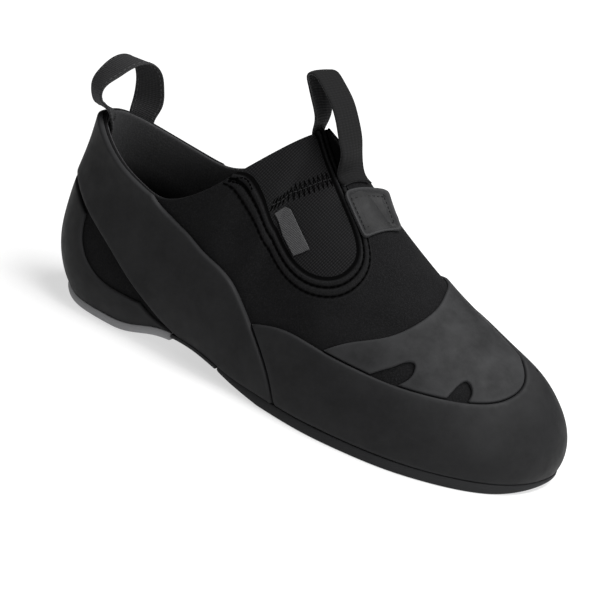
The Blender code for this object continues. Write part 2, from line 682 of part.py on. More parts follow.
def make_outsole():
    """The flat outsole under the forefoot, thin at its rear edge."""
    outline = rim(arc_rows(OUTSOLE_REAR, ROUND - OUTSOLE_REAR, step=0.4), GAP + RAND)
    rear_edge = outline[[0, -1], 0].mean()
    outline = np.vstack([outline, line(outline[-1], outline[0], steps=8)[1:-1]])

    def low(places):
        grow = np.clip((places[:, 0] - rear_edge) / OUTSOLE_TAPER, 0, 1)
        thick = OUTSOLE * (OUTSOLE_THIN + (1 - OUTSOLE_THIN) * grow)
        lift = np.clip((places[:, 0] - LENGTH + TOE_LIFT_RUN) / TOE_LIFT_RUN, 0, None) ** 2 * TOE_LIFT
        return np.maximum(seat(places) - thick, 0) + lift

    slab("outsole", outline, low, seat, 0.0085, RUBBER)


def make_heel_sole():
    """The thin crescent sole under the heel, rounded up at its rim."""
    rows = np.linspace(-HEEL_FRONT, HEEL_FRONT, HEEL_STEPS + 1)
    outline = rim(rows % ROUND, GAP + CUP)
    outline = np.vstack([outline, line(outline[-1], outline[0], steps=6)[1:-1]])

    def low(places):
        edge = np.clip(1 - distance_to(outline, places) / HEEL_EDGE_WIDTH, 0, 1)
        return np.maximum(seat(places) - HEEL_SOLE, 0) + HEEL_EDGE * edge ** 2

    slab("heel_sole", outline, low, seat, 0.0055, HEEL_RUBBER)


def make_arch_rubber():
    """The strap's rubber where it passes under the arch, between heel sole and outsole."""
    rows = arc_rows(HEEL_FRONT, OUTSOLE_REAR, step=0.3)
    outer, inner = rim(rows, GAP + STRAP), rim(ROUND - rows, GAP + STRAP)
    start, end = max(outer[0, 0], inner[0, 0]) + SEAM, min(outer[-1, 0], inner[-1, 0]) - SEAM
    along = np.linspace(start, end, len(rows))
    outer, inner = (np.column_stack([along, np.interp(along, *side.T)]) for side in (outer, inner))
    ends = line(outer[-1], inner[-1], steps=7), line(inner[0], outer[0], steps=7)
    outline = chain(outer, ends[0], inner[::-1], ends[1])
    slab("arch_rubber", outline, lambda places: seat(places) - ARCH_RUBBER, seat, 0.008, RUBBER)


def make_insole():
    """The insole, laid on the upper's turned-in margin."""
    outline = rim(np.arange(0, ROUND, 0.5), -WALL - GAP)

    def low(places):
        return seat(places) + WALL + 3 * GAP

    slab("insole", outline, low, lambda places: low(places) + INSOLE, 0.0085, BOARD)


RIBBON_STEPS = 40
RIBBON_LINES = 5


def ribbon(name, rails, thickness, finish):
    """Webbing of one thickness through cross lines, each given by its left, middle and right."""
    rails = np.asarray(rails, float)
    run = np.concatenate([[0], np.cumsum(np.linalg.norm(np.diff(rails[:, 1], axis=0), axis=1))])
    count = len(rails)
    path = Spline(run, rails.reshape(count, 9))(np.linspace(0, run[-1], RIBBON_STEPS)).reshape(-1, 3, 3)
    across = np.linspace(-1, 1, RIBBON_LINES)
    left, middle, right = (path[:, i][:, None] for i in range(3))
    bow = across[:, None]
    sheet = middle + (right - left) * bow / 2 + (left + right - 2 * middle) * bow ** 2 / 2
    ahead = np.gradient(sheet, axis=0)
    sideways = np.gradient(sheet, axis=1)
    out = unit(np.cross(ahead, sideways)) * thickness / 2
    steps, width = sheet.shape[:2]
    cells = [(i * width + k, i * width + k + 1, (i + 1) * width + k + 1, (i + 1) * width + k)
             for i in range(steps - 1) for k in range(width - 1)]
    triangles = np.array([t for a, b, c, d in cells for t in ((a, c, b), (a, d, c))])
    flat_sheet, flat_out = sheet.reshape(-1, 3), out.reshape(-1, 3)
    return thicken(name, flat_sheet, flat_sheet - flat_out, flat_sheet + flat_out, triangles, finish)


def straight(centre, way, width):
    """A straight cross line of webbing."""
    way = unit(np.asarray(way, float)) * width / 2
    return [centre - way, centre, centre + way]


# Where the front loop comes out from under the badge and where it is sewn inside the tongue.
FRONT_FOOT = [(9.98, 0.838), (10.12, 0.932), (10.26, 1.025)]
FRONT_FOOT_BACK = 0.2
FRONT_END = [(8.75, 0.95), (9.25, 1.0), (8.75, 1.05)]

# The front loop between the top of the tongue (0) and the badge (1).
# Columns: share of the way, rise as a share of the loop's rise, share of the webbing's width, and how far
# both edges curl forward as a share of half the width.
FRONT_LOOP = [
    (0.91, 0.21, 0.95, -0.05),
    (0.76, 0.37, 1.0, 0.0),
    (0.52, 0.56, 1.0, 0.0),
    (0.24, 0.69, 1.0, 0.0),
    (-0.15, 0.76, 1.0, 0.0),
    (-0.44, 0.74, 1.0, 0.1),
    (-0.64, 0.59, 1.0, 0.25),
    (-0.62, 0.45, 0.95, 0.35),
    (-0.48, 0.29, 0.88, 0.35),
    (-0.29, 0.14, 0.75, 0.2),
    (-0.18, 0.0, 0.6, 0.0),
    (-0.16, -0.15, 0.5, -0.1),
]

# The heel loop, from the middle of the heel over to the outside of the collar's inner side.
# Columns: offset from the heel's top as shares of the loop's rise, then the direction across the webbing.
HEEL_LOOP = [
    (0.04, -0.21, 0.1, 0.8, -0.58, 0.1),
    (-0.13, -0.21, 0.18, 0.8, -0.58, 0.15),
    (-0.2, -0.19, 0.38, 0.84, -0.53, 0.1),
    (-0.09, -0.08, 0.66, 0.95, -0.3, 0.0),
    (0.04, 0.12, 0.88, 0.98, -0.19, -0.05),
    (0.19, 0.36, 0.95, 0.98, -0.05, 0.0),
    (0.29, 0.54, 0.77, 0.95, 0.1, 0.1),
    (0.31, 0.66, 0.47, 0.9, 0.25, 0.1),
    (0.31, 0.68, 0.14, 0.85, 0.45, -0.1),
]
# Where the heel loop is sewn to the collar. Columns: row round the shoe, half width in rows, depth.
HEEL_LOOP_ENDS = [
    (0.9, 0.8, -(WALL + 2 * GAP + WEBBING / 2)),
    (32.17, -0.42, 2 * GAP + STRAP + WEBBING / 2),
]
SEWN_HEIGHTS = (0.86, 0.93, 1.0)
INSIDE = -(WALL + 2 * GAP + WEBBING / 2)
OUTSIDE = 2 * GAP + WEBBING / 2


def on_skin(places, depth):
    """A cross line of webbing that lies along the upper."""
    places = over_ridge(places)
    return list(skin(places[:, 0], places[:, 1], depth))


def make_front_loop():
    """The front pull loop, from under the badge's top edge over and down inside the tongue."""
    rails = [on_skin(np.array(FRONT_FOOT) - (back, 0), OUTSIDE) for back in (0.0, FRONT_FOOT_BACK)]
    start, tongue = rails[1][1], base(TONGUE, 1.0)
    for share, rise, width, curl in FRONT_LOOP:
        centre = tongue + (start - tongue) * (share, max(share, 0.0), share) + UP * rise * FRONT_LOOP_RISE
        rail = straight(centre, (0, 1, 0), FRONT_WEB_WIDTH * width)
        ahead = np.array([curl * FRONT_WEB_WIDTH / 2, 0, 0])
        rails.append([rail[0] + ahead, rail[1], rail[2] + ahead])
    rails.append(on_skin(np.array(FRONT_END), INSIDE))
    ribbon("front_pull_loop", rails, WEBBING, WEB)


def make_heel_loop():
    """The heel pull loop, sewn inside the collar at the heel and outside it on the inner side."""
    heel = base(0.0, 1.0)
    ends = []
    for middle, half, depth in HEEL_LOOP_ENDS:
        rows = (middle - half, middle, middle + half)
        stations = [on_skin(np.array([(t, s) for t in rows]), depth) for s in SEWN_HEIGHTS]
        stations[-1] = [place + UP * WEBBING for place in stations[-1]]
        ends.append(stations)
    free = [straight(heel + np.array(row[:3]) * HEEL_LOOP_RISE, row[3:], HEEL_WEB_WIDTH) for row in HEEL_LOOP]
    ribbon("heel_pull_loop", ends[0] + free + ends[1][::-1], WEBBING, WEB)


make_upper()
make_gores()
make_strap()
make_heel_cup()
make_rand()
make_toe_patch()
make_outsole()
make_heel_sole()
make_arch_rubber()
make_insole()
make_badge()
make_tag()
make_front_loop()
make_heel_loop()

CORNERS = np.array([tuple(vertex.co) for thing in SHOE.children for vertex in thing.data.vertices])
LOWEST, HIGHEST = CORNERS.min(0), CORNERS.max(0)
SHOE.location = (-(LOWEST[0] + HIGHEST[0]) / 2, -(LOWEST[1] + HIGHEST[1]) / 2, -LOWEST[2])
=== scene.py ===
"""A slip-on climbing shoe for the right foot: finish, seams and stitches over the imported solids."""

import math

import bpy
import numpy as np
from mathutils import Matrix, Vector
from mathutils.geometry import delaunay_2d_cdt
from mathutils.kdtree import KDTree


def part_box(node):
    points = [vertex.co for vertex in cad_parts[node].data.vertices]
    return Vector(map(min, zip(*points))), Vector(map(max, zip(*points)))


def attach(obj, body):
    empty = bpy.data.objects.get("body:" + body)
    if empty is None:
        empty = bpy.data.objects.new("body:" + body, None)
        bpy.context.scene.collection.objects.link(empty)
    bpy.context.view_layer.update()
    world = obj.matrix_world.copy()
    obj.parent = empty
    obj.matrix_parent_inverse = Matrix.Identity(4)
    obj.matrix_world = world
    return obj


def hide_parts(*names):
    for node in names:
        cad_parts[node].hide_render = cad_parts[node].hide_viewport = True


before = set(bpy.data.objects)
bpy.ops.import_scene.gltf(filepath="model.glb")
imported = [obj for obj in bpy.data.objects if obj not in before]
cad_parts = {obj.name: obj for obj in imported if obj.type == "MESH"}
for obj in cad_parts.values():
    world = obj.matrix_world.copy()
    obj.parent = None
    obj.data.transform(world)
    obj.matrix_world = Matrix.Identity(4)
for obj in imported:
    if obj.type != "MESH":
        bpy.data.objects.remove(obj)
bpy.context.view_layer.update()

# The shoe's form, the same as in the solids: x from heel to toe, +y the inner side, z up, in metres.

LENGTH = 0.2525
BALL_WIDTH = 0.084
HEEL_HEIGHT = 0.0855
INSTEP_HEIGHT = 0.111
ARCH_RISE = 0.011
WALL = 0.002
MARGIN = 0.009
GAP = 0.00035
RAND = 0.0016
STRAP = 0.0022
CUP = 0.0015
PATCH = 0.0011
GORE = 0.0014
OUTSOLE = 0.00465
HEEL_SOLE = 0.0046
ARCH_RUBBER = 0.0018
INSOLE = 0.0016
BADGE = 0.0022
TAG = 0.0005
WEBBING = 0.0012
FRONT_WEB_WIDTH = 0.020
FRONT_LOOP_RISE = 0.024
HEEL_WEB_WIDTH = 0.014
HEEL_LOOP_RISE = 0.026
SEAM = 0.0005

# Feather line, where the upper meets the soles.
# Columns: share of length, outer and inner side as shares of ball width, then outer and inner lift as shares
# of arch rise.
FEATHER = [
    (0.051, 0.000, 0.000, 0.40, 0.40),
    (0.063, -0.119, 0.119, 0.26, 0.26),
    (0.106, -0.232, 0.232, 0.03, 0.03),
    (0.169, -0.292, 0.292, 0.00, 0.00),
    (0.232, -0.315, 0.304, 0.05, 0.10),
    (0.291, -0.327, 0.298, 0.42, 0.65),
    (0.346, -0.345, 0.304, 0.58, 0.97),
    (0.398, -0.369, 0.321, 0.50, 0.82),
    (0.445, -0.393, 0.340, 0.28, 0.45),
    (0.492, -0.417, 0.363, 0.10, 0.17),
    (0.567, -0.464, 0.417, 0.02, 0.02),
    (0.646, -0.506, 0.470, 0.00, 0.00),
    (0.724, -0.512, 0.494, 0.00, 0.00),
    (0.799, -0.488, 0.488, 0.00, 0.00),
    (0.870, -0.417, 0.458, 0.00, 0.00),
    (0.929, -0.310, 0.405, 0.00, 0.00),
    (0.978, -0.131, 0.298, 0.00, 0.00),
    (0.998, 0.107, 0.107, 0.00, 0.00),
]

# Collar edge along the heel.
# Columns: shares of length, ball width and heel height for the outer side, then for the inner side.
COLLAR = [
    (0.039, 0.000, 1.000, 0.039, 0.000, 1.000),
    (0.047, -0.077, 0.990, 0.048, 0.083, 1.005),
    (0.083, -0.161, 0.921, 0.083, 0.179, 0.971),
    (0.142, -0.250, 0.841, 0.140, 0.262, 0.915),
    (0.201, -0.292, 0.784, 0.201, 0.298, 0.872),
    (0.256, -0.310, 0.768, 0.260, 0.304, 0.863),
]

# Cuff edge from the quarters up to the top of the instep.
# Columns: shares of length, ball width and instep height for the outer side, then for the inner side.
CUFF = [
    (0.315, -0.304, 0.664, 0.315, 0.292, 0.715),
    (0.366, -0.262, 0.776, 0.364, 0.250, 0.795),
    (0.432, -0.107, 0.942, 0.432, 0.200, 0.946),
    (0.461, 0.071, 1.000, 0.461, 0.071, 1.000),
]

# Ridge of the instep and toe, in front of the cuff.
# Columns: shares of length, ball width and instep height.
RIDGE = [
    (0.461, 0.071, 1.000),
    (0.541, 0.050, 0.886),
    (0.625, 0.042, 0.757),
    (0.704, 0.056, 0.634),
    (0.780, 0.083, 0.532),
    (0.846, 0.107, 0.456),
    (0.890, 0.125, 0.415),
    (0.914, 0.131, 0.392),
    (0.924, 0.137, 0.381),
]

# How each section leaves the feather line and reaches the top.
# Columns: lean and pull at the bottom, heading, lean and pull at the top for the outer side, then the same
# for the inner side.
# Leans and headings are in degrees, pulls are shares of the distance from bottom to top.
SHAPE = [
    (43, 0.32, 180, 86, 0.38, 43, 0.32, 180, 86, 0.38),
    (45, 0.31, 150, 86, 0.36, 45, 0.31, 150, 86, 0.36),
    (48, 0.30, 115, 88, 0.33, 48, 0.30, 115, 88, 0.33),
    (50, 0.28, 98, 92, 0.30, 50, 0.28, 98, 92, 0.30),
    (50, 0.27, 92, 93, 0.30, 50, 0.27, 92, 93, 0.30),
    (48, 0.26, 90, 92, 0.30, 46, 0.26, 90, 92, 0.30),
    (48, 0.25, 90, 86, 0.30, 44, 0.26, 90, 88, 0.30),
    (52, 0.24, 90, 72, 0.28, 46, 0.25, 90, 74, 0.28),
    (58, 0.23, 90, 46, 0.24, 52, 0.24, 90, 48, 0.24),
    (64, 0.22, 90, 12, 0.20, 60, 0.22, 90, 12, 0.20),
    (70, 0.24, 90, 0, 0.22, 66, 0.23, 90, 0, 0.22),
    (74, 0.26, 90, 0, 0.25, 72, 0.26, 90, 0, 0.25),
    (76, 0.28, 90, 0, 0.28, 76, 0.30, 90, 0, 0.28),
    (76, 0.30, 90, 2, 0.30, 76, 0.33, 90, 2, 0.30),
    (74, 0.32, 80, 8, 0.32, 74, 0.34, 76, 8, 0.32),
    (70, 0.32, 66, 16, 0.33, 70, 0.32, 58, 18, 0.33),
    (67, 0.32, 40, 26, 0.34, 67, 0.32, 30, 28, 0.34),
    (64, 0.32, 0, 33, 0.34, 64, 0.32, 0, 33, 0.34),
]


def bend(knots, values, periodic=False):
    """Second slopes of a cubic spline through the values, closed or with free ends."""
    gaps = np.diff(knots)
    rises = np.diff(values, axis=0) / gaps[:, None]
    size = len(gaps) if periodic else len(knots)
    system = np.zeros((size, size)) if periodic else np.eye(size)
    right = np.zeros((size, values.shape[1]))
    for i in range(0 if periodic else 1, size if periodic else size - 1):
        system[i, i] = 2 * (gaps[i - 1] + gaps[i])
        system[i, i - 1] = gaps[i - 1]
        system[i, (i + 1) % size] = gaps[i]
        right[i] = 6 * (rises[i] - rises[i - 1])
    second = np.linalg.solve(system, right)
    return np.vstack([second, second[:1]]) if periodic else second


class Spline:
    """A cubic spline through a table of values, one row per knot."""

    def __init__(self, knots, values, periodic=False):
        self.knots = np.asarray(knots, float)
        self.values = np.asarray(values, float).reshape(len(knots), -1)
        self.second = bend(self.knots, self.values, periodic)

    def __call__(self, u):
        u = np.clip(np.asarray(u, float), self.knots[0], self.knots[-1])
        i = np.clip(np.searchsorted(self.knots, u, side="right") - 1, 0, len(self.knots) - 2)
        h = (self.knots[i + 1] - self.knots[i])[..., None]
        b = (u - self.knots[i])[..., None] / h
        a = 1 - b
        flat = a * self.values[i] + b * self.values[i + 1]
        extra = (a ** 3 - a) * self.second[i] + (b ** 3 - b) * self.second[i + 1]
        return flat + extra * h * h / 6


def both_sides(outer, inner):
    """Joins outer rows 0..N and inner rows N..0 into one closed table."""
    return list(outer) + list(inner)[-2::-1]


HEEL_SOLE_END = 0.23
SOLE_BLEND = 0.25


def under_sole(share):
    """Thickness of sole below the feather line: the heel sole behind the arch, the outsole in front of it."""
    blend = min(max((share - HEEL_SOLE_END) / SOLE_BLEND, 0.0), 1.0)
    return GAP + HEEL_SOLE + (OUTSOLE - HEEL_SOLE) * blend


def feather_table():
    outer = [(x * LENGTH, yo * BALL_WIDTH, under_sole(x) + zo * ARCH_RISE) for x, yo, yi, zo, zi in FEATHER]
    inner = [(x * LENGTH, yi * BALL_WIDTH, under_sole(x) + zi * ARCH_RISE) for x, yo, yi, zo, zi in FEATHER]
    return both_sides(outer, inner)


def scaled(rows, height, first=0):
    """Three columns of a table from the given one on, as lengths."""
    size = (LENGTH, BALL_WIDTH, height)
    return [tuple(c * s for c, s in zip(row[first:first + 3], size)) for row in rows]


def edge_table():
    """The opening's edge from the inner side of the tongue round the heel to the outer side."""
    outer = scaled(COLLAR, HEEL_HEIGHT) + scaled(CUFF, INSTEP_HEIGHT)
    inner = scaled(COLLAR, HEEL_HEIGHT, 3) + scaled(CUFF, INSTEP_HEIGHT, 3)
    return inner[:0:-1] + outer


ROWS = len(FEATHER) - 1
TONGUE = len(COLLAR) + len(CUFF) - 1
ROUND = 2 * ROWS
FOOT = Spline(range(ROUND + 1), feather_table(), periodic=True)
EDGE = Spline(range(-TONGUE, TONGUE + 1), edge_table())
RIDGE_LINE = scaled(RIDGE, INSTEP_HEIGHT)
BACKBONE = Spline(range(TONGUE, ROUND - TONGUE + 1), both_sides(RIDGE_LINE, RIDGE_LINE))
OUTER_LEANS = [row[:2] + row[3:5] for row in SHAPE]
INNER_LEANS = [row[5:7] + row[8:] for row in SHAPE]
LEANS = Spline(range(ROUND + 1), both_sides(OUTER_LEANS, INNER_LEANS), True)
HEADINGS = Spline(range(ROUND + 1), both_sides([(row[2],) for row in SHAPE], [(-row[7],) for row in SHAPE]))
UP = np.array([0.0, 0.0, 1.0])
ROW_NUDGE = 0.02
HEIGHT_NUDGE = 0.004


def unit(v):
    return v / np.maximum(np.linalg.norm(v, axis=-1, keepdims=True), 1e-12)


def inward(t):
    """The level direction that points into the shoe from the feather line."""
    ahead = FOOT((t + ROW_NUDGE / 2) % ROUND) - FOOT((t - ROW_NUDGE / 2) % ROUND)
    return unit(np.stack([-ahead[..., 1], ahead[..., 0], 0 * ahead[..., 2]], -1))


def top(t):
    """The opening's edge or the ridge at each row."""
    wrapped = np.where(t > ROWS, t - ROUND, t)
    on_edge = np.abs(wrapped) <= TONGUE
    return np.where(on_edge[..., None], EDGE(wrapped), BACKBONE(t))


RUN = np.linspace(0, ROWS, 400)
OUTER_LINE = FOOT(RUN)
INNER_LINE = FOOT(ROUND - RUN)


def sole_height(x, y):
    """Height of the upper's underside, level lengthwise with the feather line on each side."""
    low = [np.interp(x, OUTER_LINE[:, 0], OUTER_LINE[:, i]) for i in (1, 2)]
    high = [np.interp(x, INNER_LINE[:, 0], INNER_LINE[:, i]) for i in (1, 2)]
    share = np.clip((y - low[0]) / np.maximum(high[0] - low[0], 1e-6), 0, 1)
    return low[1] + (high[1] - low[1]) * share


def base(t, s):
    """The outer face of the upper.

    t counts the rows round the shoe from the heel over the outer side; s is 0 at the feather line, 1 at the
    top and -1 at the rim of the margin that is turned in under the foot.
    """
    t, s = np.broadcast_arrays(np.asarray(t, float) % ROUND, np.asarray(s, float))
    foot, head, into, lean = FOOT(t), top(t), inward(t), LEANS(t)
    low, high, turn = np.radians(lean[..., 0:1]), np.radians(lean[..., 2:3]), np.radians(HEADINGS(t))
    span = np.linalg.norm(head - foot, axis=-1, keepdims=True)
    leave = (UP * np.sin(low) - into * np.cos(low)) * lean[..., 1:2] * span
    level = np.concatenate([-np.cos(turn), np.sin(turn), 0 * turn], -1)
    arrive = (UP * np.sin(high) + level * np.cos(high)) * lean[..., 3:4] * span
    b = np.clip(s, 0, 1)[..., None]
    a = 1 - b
    side = a ** 3 * foot + 3 * a * a * b * (foot + leave) + 3 * a * b * b * (head - arrive) + b ** 3 * head
    under = foot - into * np.minimum(s, 0)[..., None] * MARGIN
    under = np.concatenate([under[..., :2], sole_height(under[..., 0], under[..., 1])[..., None]], -1)
    return np.where(s[..., None] >= 0, side, under)


def facing(t, s):
    """The outward normal of the side of the upper."""
    inside = np.clip(s, HEIGHT_NUDGE, 0.99)
    along = base(t + ROW_NUDGE, inside) - base(t - ROW_NUDGE, inside)
    rise = base(t, inside + HEIGHT_NUDGE) - base(t, inside - HEIGHT_NUDGE)
    return unit(np.cross(along, rise))


def skin(t, s, depth):
    """A place at the given depth outside (+) or inside (-) the outer face of the upper."""
    t, s = np.broadcast_arrays(np.asarray(t, float), np.asarray(s, float))
    depth = np.broadcast_to(np.asarray(depth, float), t.shape)[..., None]
    side = facing(t, s)
    out = -inward(t % ROUND)
    level = out / np.maximum((out * side).sum(-1, keepdims=True), 0.5)
    corner = (side - UP) / (1 - side[..., 2:3])
    seat = np.where(depth > 0, level, corner)
    height = s[..., None]
    way = np.where(height < -1e-6, -UP, np.where(height < 1e-6, seat, side))
    return base(t, s) + way * depth


# Edges of the rubber and the cloth on the upper, as rows round the shoe and shares of the way up.
# A height over 1 lies past the ridge on the inner side. Columns: row, height.
STRAP_FRONT = [
    (4.55, 1.0), (5.12, 0.9), (5.65, 0.79), (6.25, 0.684), (7.16, 0.531), (8.15, 0.38), (9.1, 0.263),
    (9.58, 0.19), (9.94, 0.09), (10.1, 0.0),
]
STRAP_REAR = [
    (6.2, 0.0), (5.7, 0.07), (4.7, 0.285), (3.7, 0.455), (2.9, 0.54), (2.2, 0.59), (1.5, 0.635), (0.8, 0.655),
    (0.0, 0.66),
]
HEEL_FRONT = 5.8
CUP_SEAM = [(HEEL_FRONT, 0.0), (5.45, 0.045), (4.6, 0.235)]
CUP_WINDOW = [(4.6, 0.235), (3.9, 0.262), (3.2, 0.27), (2.7, 0.315), (2.35, 0.39), (2.2, 0.47), (2.17, 0.56)]
CUP_TOP = [(2.17, 0.56), (1.5, 0.61), (0.8, 0.635), (0.0, 0.64)]
RAND_TOP = [
    (9.15, 0.262), (10.0, 0.305), (10.9, 0.322), (11.85, 0.342), (12.7, 0.37), (13.5, 0.42), (14.1, 0.476),
    (14.75, 0.572), (15.1, 0.66), (15.36, 0.77), (15.4, 0.88), (15.15, 1.0),
]
RAND_TOP_INSIDE = [
    (15.15, 1.0), (14.4, 1.08), (13.5, 1.17), (12.6, 1.29), (11.7, 1.42), (10.8, 1.54), (10.0, 1.63),
    (9.15, 1.738),
]
PATCH_REAR = [
    (10.95, 0.33), (11.34, 0.4), (12.1, 0.53), (12.5, 0.67), (12.65, 0.82), (12.58, 0.95), (12.45, 1.06),
    (12.2, 1.18), (11.8, 1.31), (11.35, 1.42), (10.95, 1.52),
]
TOE_NOTCHES = [
    [(12.03, 0.352), (12.2, 0.388), (12.45, 0.44), (12.66, 0.49), (12.78, 0.502), (12.84, 0.475),
     (12.66, 0.377)],
    [(13.64, 0.442), (13.69, 0.49), (13.77, 0.55), (13.88, 0.582), (14.0, 0.565), (14.06, 0.482)],
]
NOTCH_CLEAR = 0.03
GORE_EDGE = [
    (7.0, 1.0), (7.22, 0.945), (7.58, 0.825), (8.1, 0.675), (8.75, 0.562), (9.3, 0.51), (9.7, 0.49),
    (10.05, 0.492), (10.4, 0.516), (10.7, 0.562), (10.87, 0.625), (10.87, 0.69), (10.68, 0.737),
    (10.38, 0.77), (9.95, 0.805), (9.5, 0.846), (9.15, 0.89), (8.85, 0.943), (8.62, 1.0),
]
BADGE_CORNERS = [(10.03, 0.812), (10.81, 0.75), (11.23, 0.985), (10.48, 1.06)]
BADGE_ROUND = 0.14
TAG_EDGE = [
    (8.68, 0.605), (9.22, 0.54), (9.62, 0.512), (9.77, 0.536), (9.91, 0.564), (9.55, 0.59), (9.16, 0.62),
    (8.94, 0.613),
]

# Rough size of one row and of the whole height of the upper.
ROW_SIZE = 0.016
SIDE_SIZE = 0.088


def flat(points):
    """Chart places on an even scale."""
    points = np.asarray(points, float).reshape(-1, 2)
    tall = np.where(points[:, 1] < 0, MARGIN, SIDE_SIZE)
    return np.stack([points[:, 0] * ROW_SIZE, points[:, 1] * tall], -1)


def run_along(places):
    """How far each place lies along the polyline."""
    return np.concatenate([[0], np.cumsum(np.linalg.norm(np.diff(places, axis=0), axis=1))])


def curve(points, step):
    """Even places on the smooth curve through the points, both ends kept."""
    points = np.asarray(points, float)
    run = run_along(flat(points))
    count = max(int(math.ceil(run[-1] / step)), 1)
    return Spline(run, points)(np.linspace(0, run[-1], count + 1))


def line(start, end, steps):
    share = np.linspace(0, 1, steps + 1)[:, None]
    return np.asarray(start) * (1 - share) + np.asarray(end) * share


def chain(*runs):
    """One closed loop of places from runs that meet end to end."""
    return np.vstack([np.asarray(run)[:-1] for run in runs])


def mirrored(points):
    """The same places on the other side of the shoe, in the opposite order."""
    points = np.asarray(points, float)[::-1]
    return np.stack([ROUND - points[:, 0], points[:, 1]], -1)


def over_ridge(points):
    """Places counted over the ridge, as places on the inner side."""
    points = np.asarray(points, float)
    past = points[:, 1:] > 1
    return np.where(past, np.stack([ROUND - points[:, 0], 2 - points[:, 1]], -1), points)


def left_of(ahead):
    """Directions at right angles to the given ones, to their left."""
    return np.stack([-ahead[:, 1], ahead[:, 0]], -1)


def shifted(points, distance):
    """The curve moved to its left by a distance."""
    points = np.asarray(points, float)
    size = np.array([ROW_SIZE, SIDE_SIZE])
    return points + left_of(unit(np.gradient(points * size, axis=0))) * distance / size


def contains(loop, points):
    """Which points lie inside the loop."""
    x, y = points[:, 0:1], points[:, 1:2]
    x0, y0 = loop[:, 0], loop[:, 1]
    x1, y1 = np.roll(x0, -1), np.roll(y0, -1)
    level = (y0 > y) != (y1 > y)
    cut = x0 + (y - y0) * (x1 - x0) / np.where(y1 == y0, 1e-12, y1 - y0)
    return (level & (x < cut)).sum(1) % 2 == 1


def flipped(points):
    """The same places on the other side of the heel."""
    return np.asarray(points, float) * (-1, 1)


def rim(t, reach):
    """The outline of a sole that reaches out past the feather line, in plan."""
    lean = np.radians(LEANS(t)[:, 0:1])
    return (FOOT(t) - inward(t) * reach / np.sin(lean))[:, :2]


OUTSOLE_REAR = 8.05
OUTSOLE_LINE = rim(np.linspace(OUTSOLE_REAR, ROUND - OUTSOLE_REAR, 46), GAP + RAND)
TOE_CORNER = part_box("outsole")[1]
SHIFT = np.array([TOE_CORNER.x - OUTSOLE_LINE[:, 0].max(), TOE_CORNER.y - OUTSOLE_LINE[:, 1].max(), 0.0])

# Meshes over the form.


def in_space(points):
    """Places in plan as places in space at height 0; places in space stay as they are."""
    points = np.asarray(points, float)
    return points if points.shape[1] == 3 else np.column_stack([points, np.zeros(len(points))])


def near_tree(points):
    """A lookup of the nearest of the given places."""
    tree = KDTree(len(points))
    for i, place in enumerate(in_space(points)):
        tree.insert(place, i)
    tree.balance()
    return tree


def distances(tree, points):
    """How far each point lies from the nearest place of the tree."""
    return np.array([tree.find(place)[2] for place in in_space(points)])


def contained(loop, points):
    """Which points lie inside the loop, a few thousand at a time."""
    parts = [contains(loop, points[i:i + 4000]) for i in range(0, len(points), 4000)]
    return np.concatenate(parts) if parts else np.zeros(0, bool)


def subdivided(points, pieces=4):
    """The closed polyline with extra places along each of its edges."""
    share = np.arange(pieces)[:, None, None] / pieces
    found = points * (1 - share) + np.roll(points, -1, 0) * share
    return found.transpose(1, 0, 2).reshape(-1, points.shape[1])


def unflat(points):
    """Chart places of points on the even scale."""
    tall = np.where(points[:, 1] < 0, MARGIN, SIDE_SIZE)
    return np.stack([points[:, 0] / ROW_SIZE, points[:, 1] / tall], -1)


def inwards(edge):
    """Directions at right angles to a loop, into it."""
    after = np.roll(edge, -1, 0)
    left = left_of(unit(after - np.roll(edge, 1, 0)))
    clockwise = (after[:, 0] * edge[:, 1] - edge[:, 0] * after[:, 1]).sum() > 0
    return -left if clockwise else left


def lattice(edge, spacing, rings):
    """Staggered points inside a loop, with rings of points that run along it."""
    low, high = edge.min(0), edge.max(0)
    xs = np.arange(low[0], high[0] + spacing, spacing)
    ys = np.arange(low[1], high[1], spacing * math.sqrt(0.75))
    field = np.array([(x + (spacing / 2 if i % 2 else 0), y) for i, y in enumerate(ys) for x in xs])
    field = field[contained(edge, field)]
    tree = near_tree(subdivided(edge))
    field = field[distances(tree, field) > rings[-1] + spacing * 0.55]
    into = inwards(edge)
    found = [field]
    for ring in rings:
        line_of = edge + into * ring
        line_of = line_of[contained(edge, line_of)]
        found.append(line_of[distances(tree, line_of) > ring * 0.9])
    return np.vstack(found)


def triangles_over(edge, inner):
    """Triangles over the loop and the inner points, all facing one way."""
    places = np.vstack([edge, inner])
    count = len(edge)
    edges = [(i, (i + 1) % count) for i in range(count)]
    scaled_places = places * 100
    _, _, faces, origin, _, _ = delaunay_2d_cdt([tuple(p) for p in scaled_places], edges, [], 0, 1e-7)
    source = [o[0] for o in origin]
    found = np.array([[source[i] for i in face] for face in faces])
    found = found[contained(edge, places[found].mean(1))]
    a, b, c = (places[found[:, i]] for i in range(3))
    turned = (b[:, 0] - a[:, 0]) * (c[:, 1] - a[:, 1]) - (b[:, 1] - a[:, 1]) * (c[:, 0] - a[:, 0])
    found[turned < 0] = found[turned < 0][:, ::-1]
    return found[np.abs(turned) > 1e-14]


def rounded(distance, radius, start=0.2):
    """A quarter round that rises from the edge of a piece to its full thickness."""
    share = np.clip(distance / radius, 0, 1)
    return start + (1 - start) * np.sqrt(1 - (1 - share) ** 2)


SHARP_ANGLE = math.radians(50)


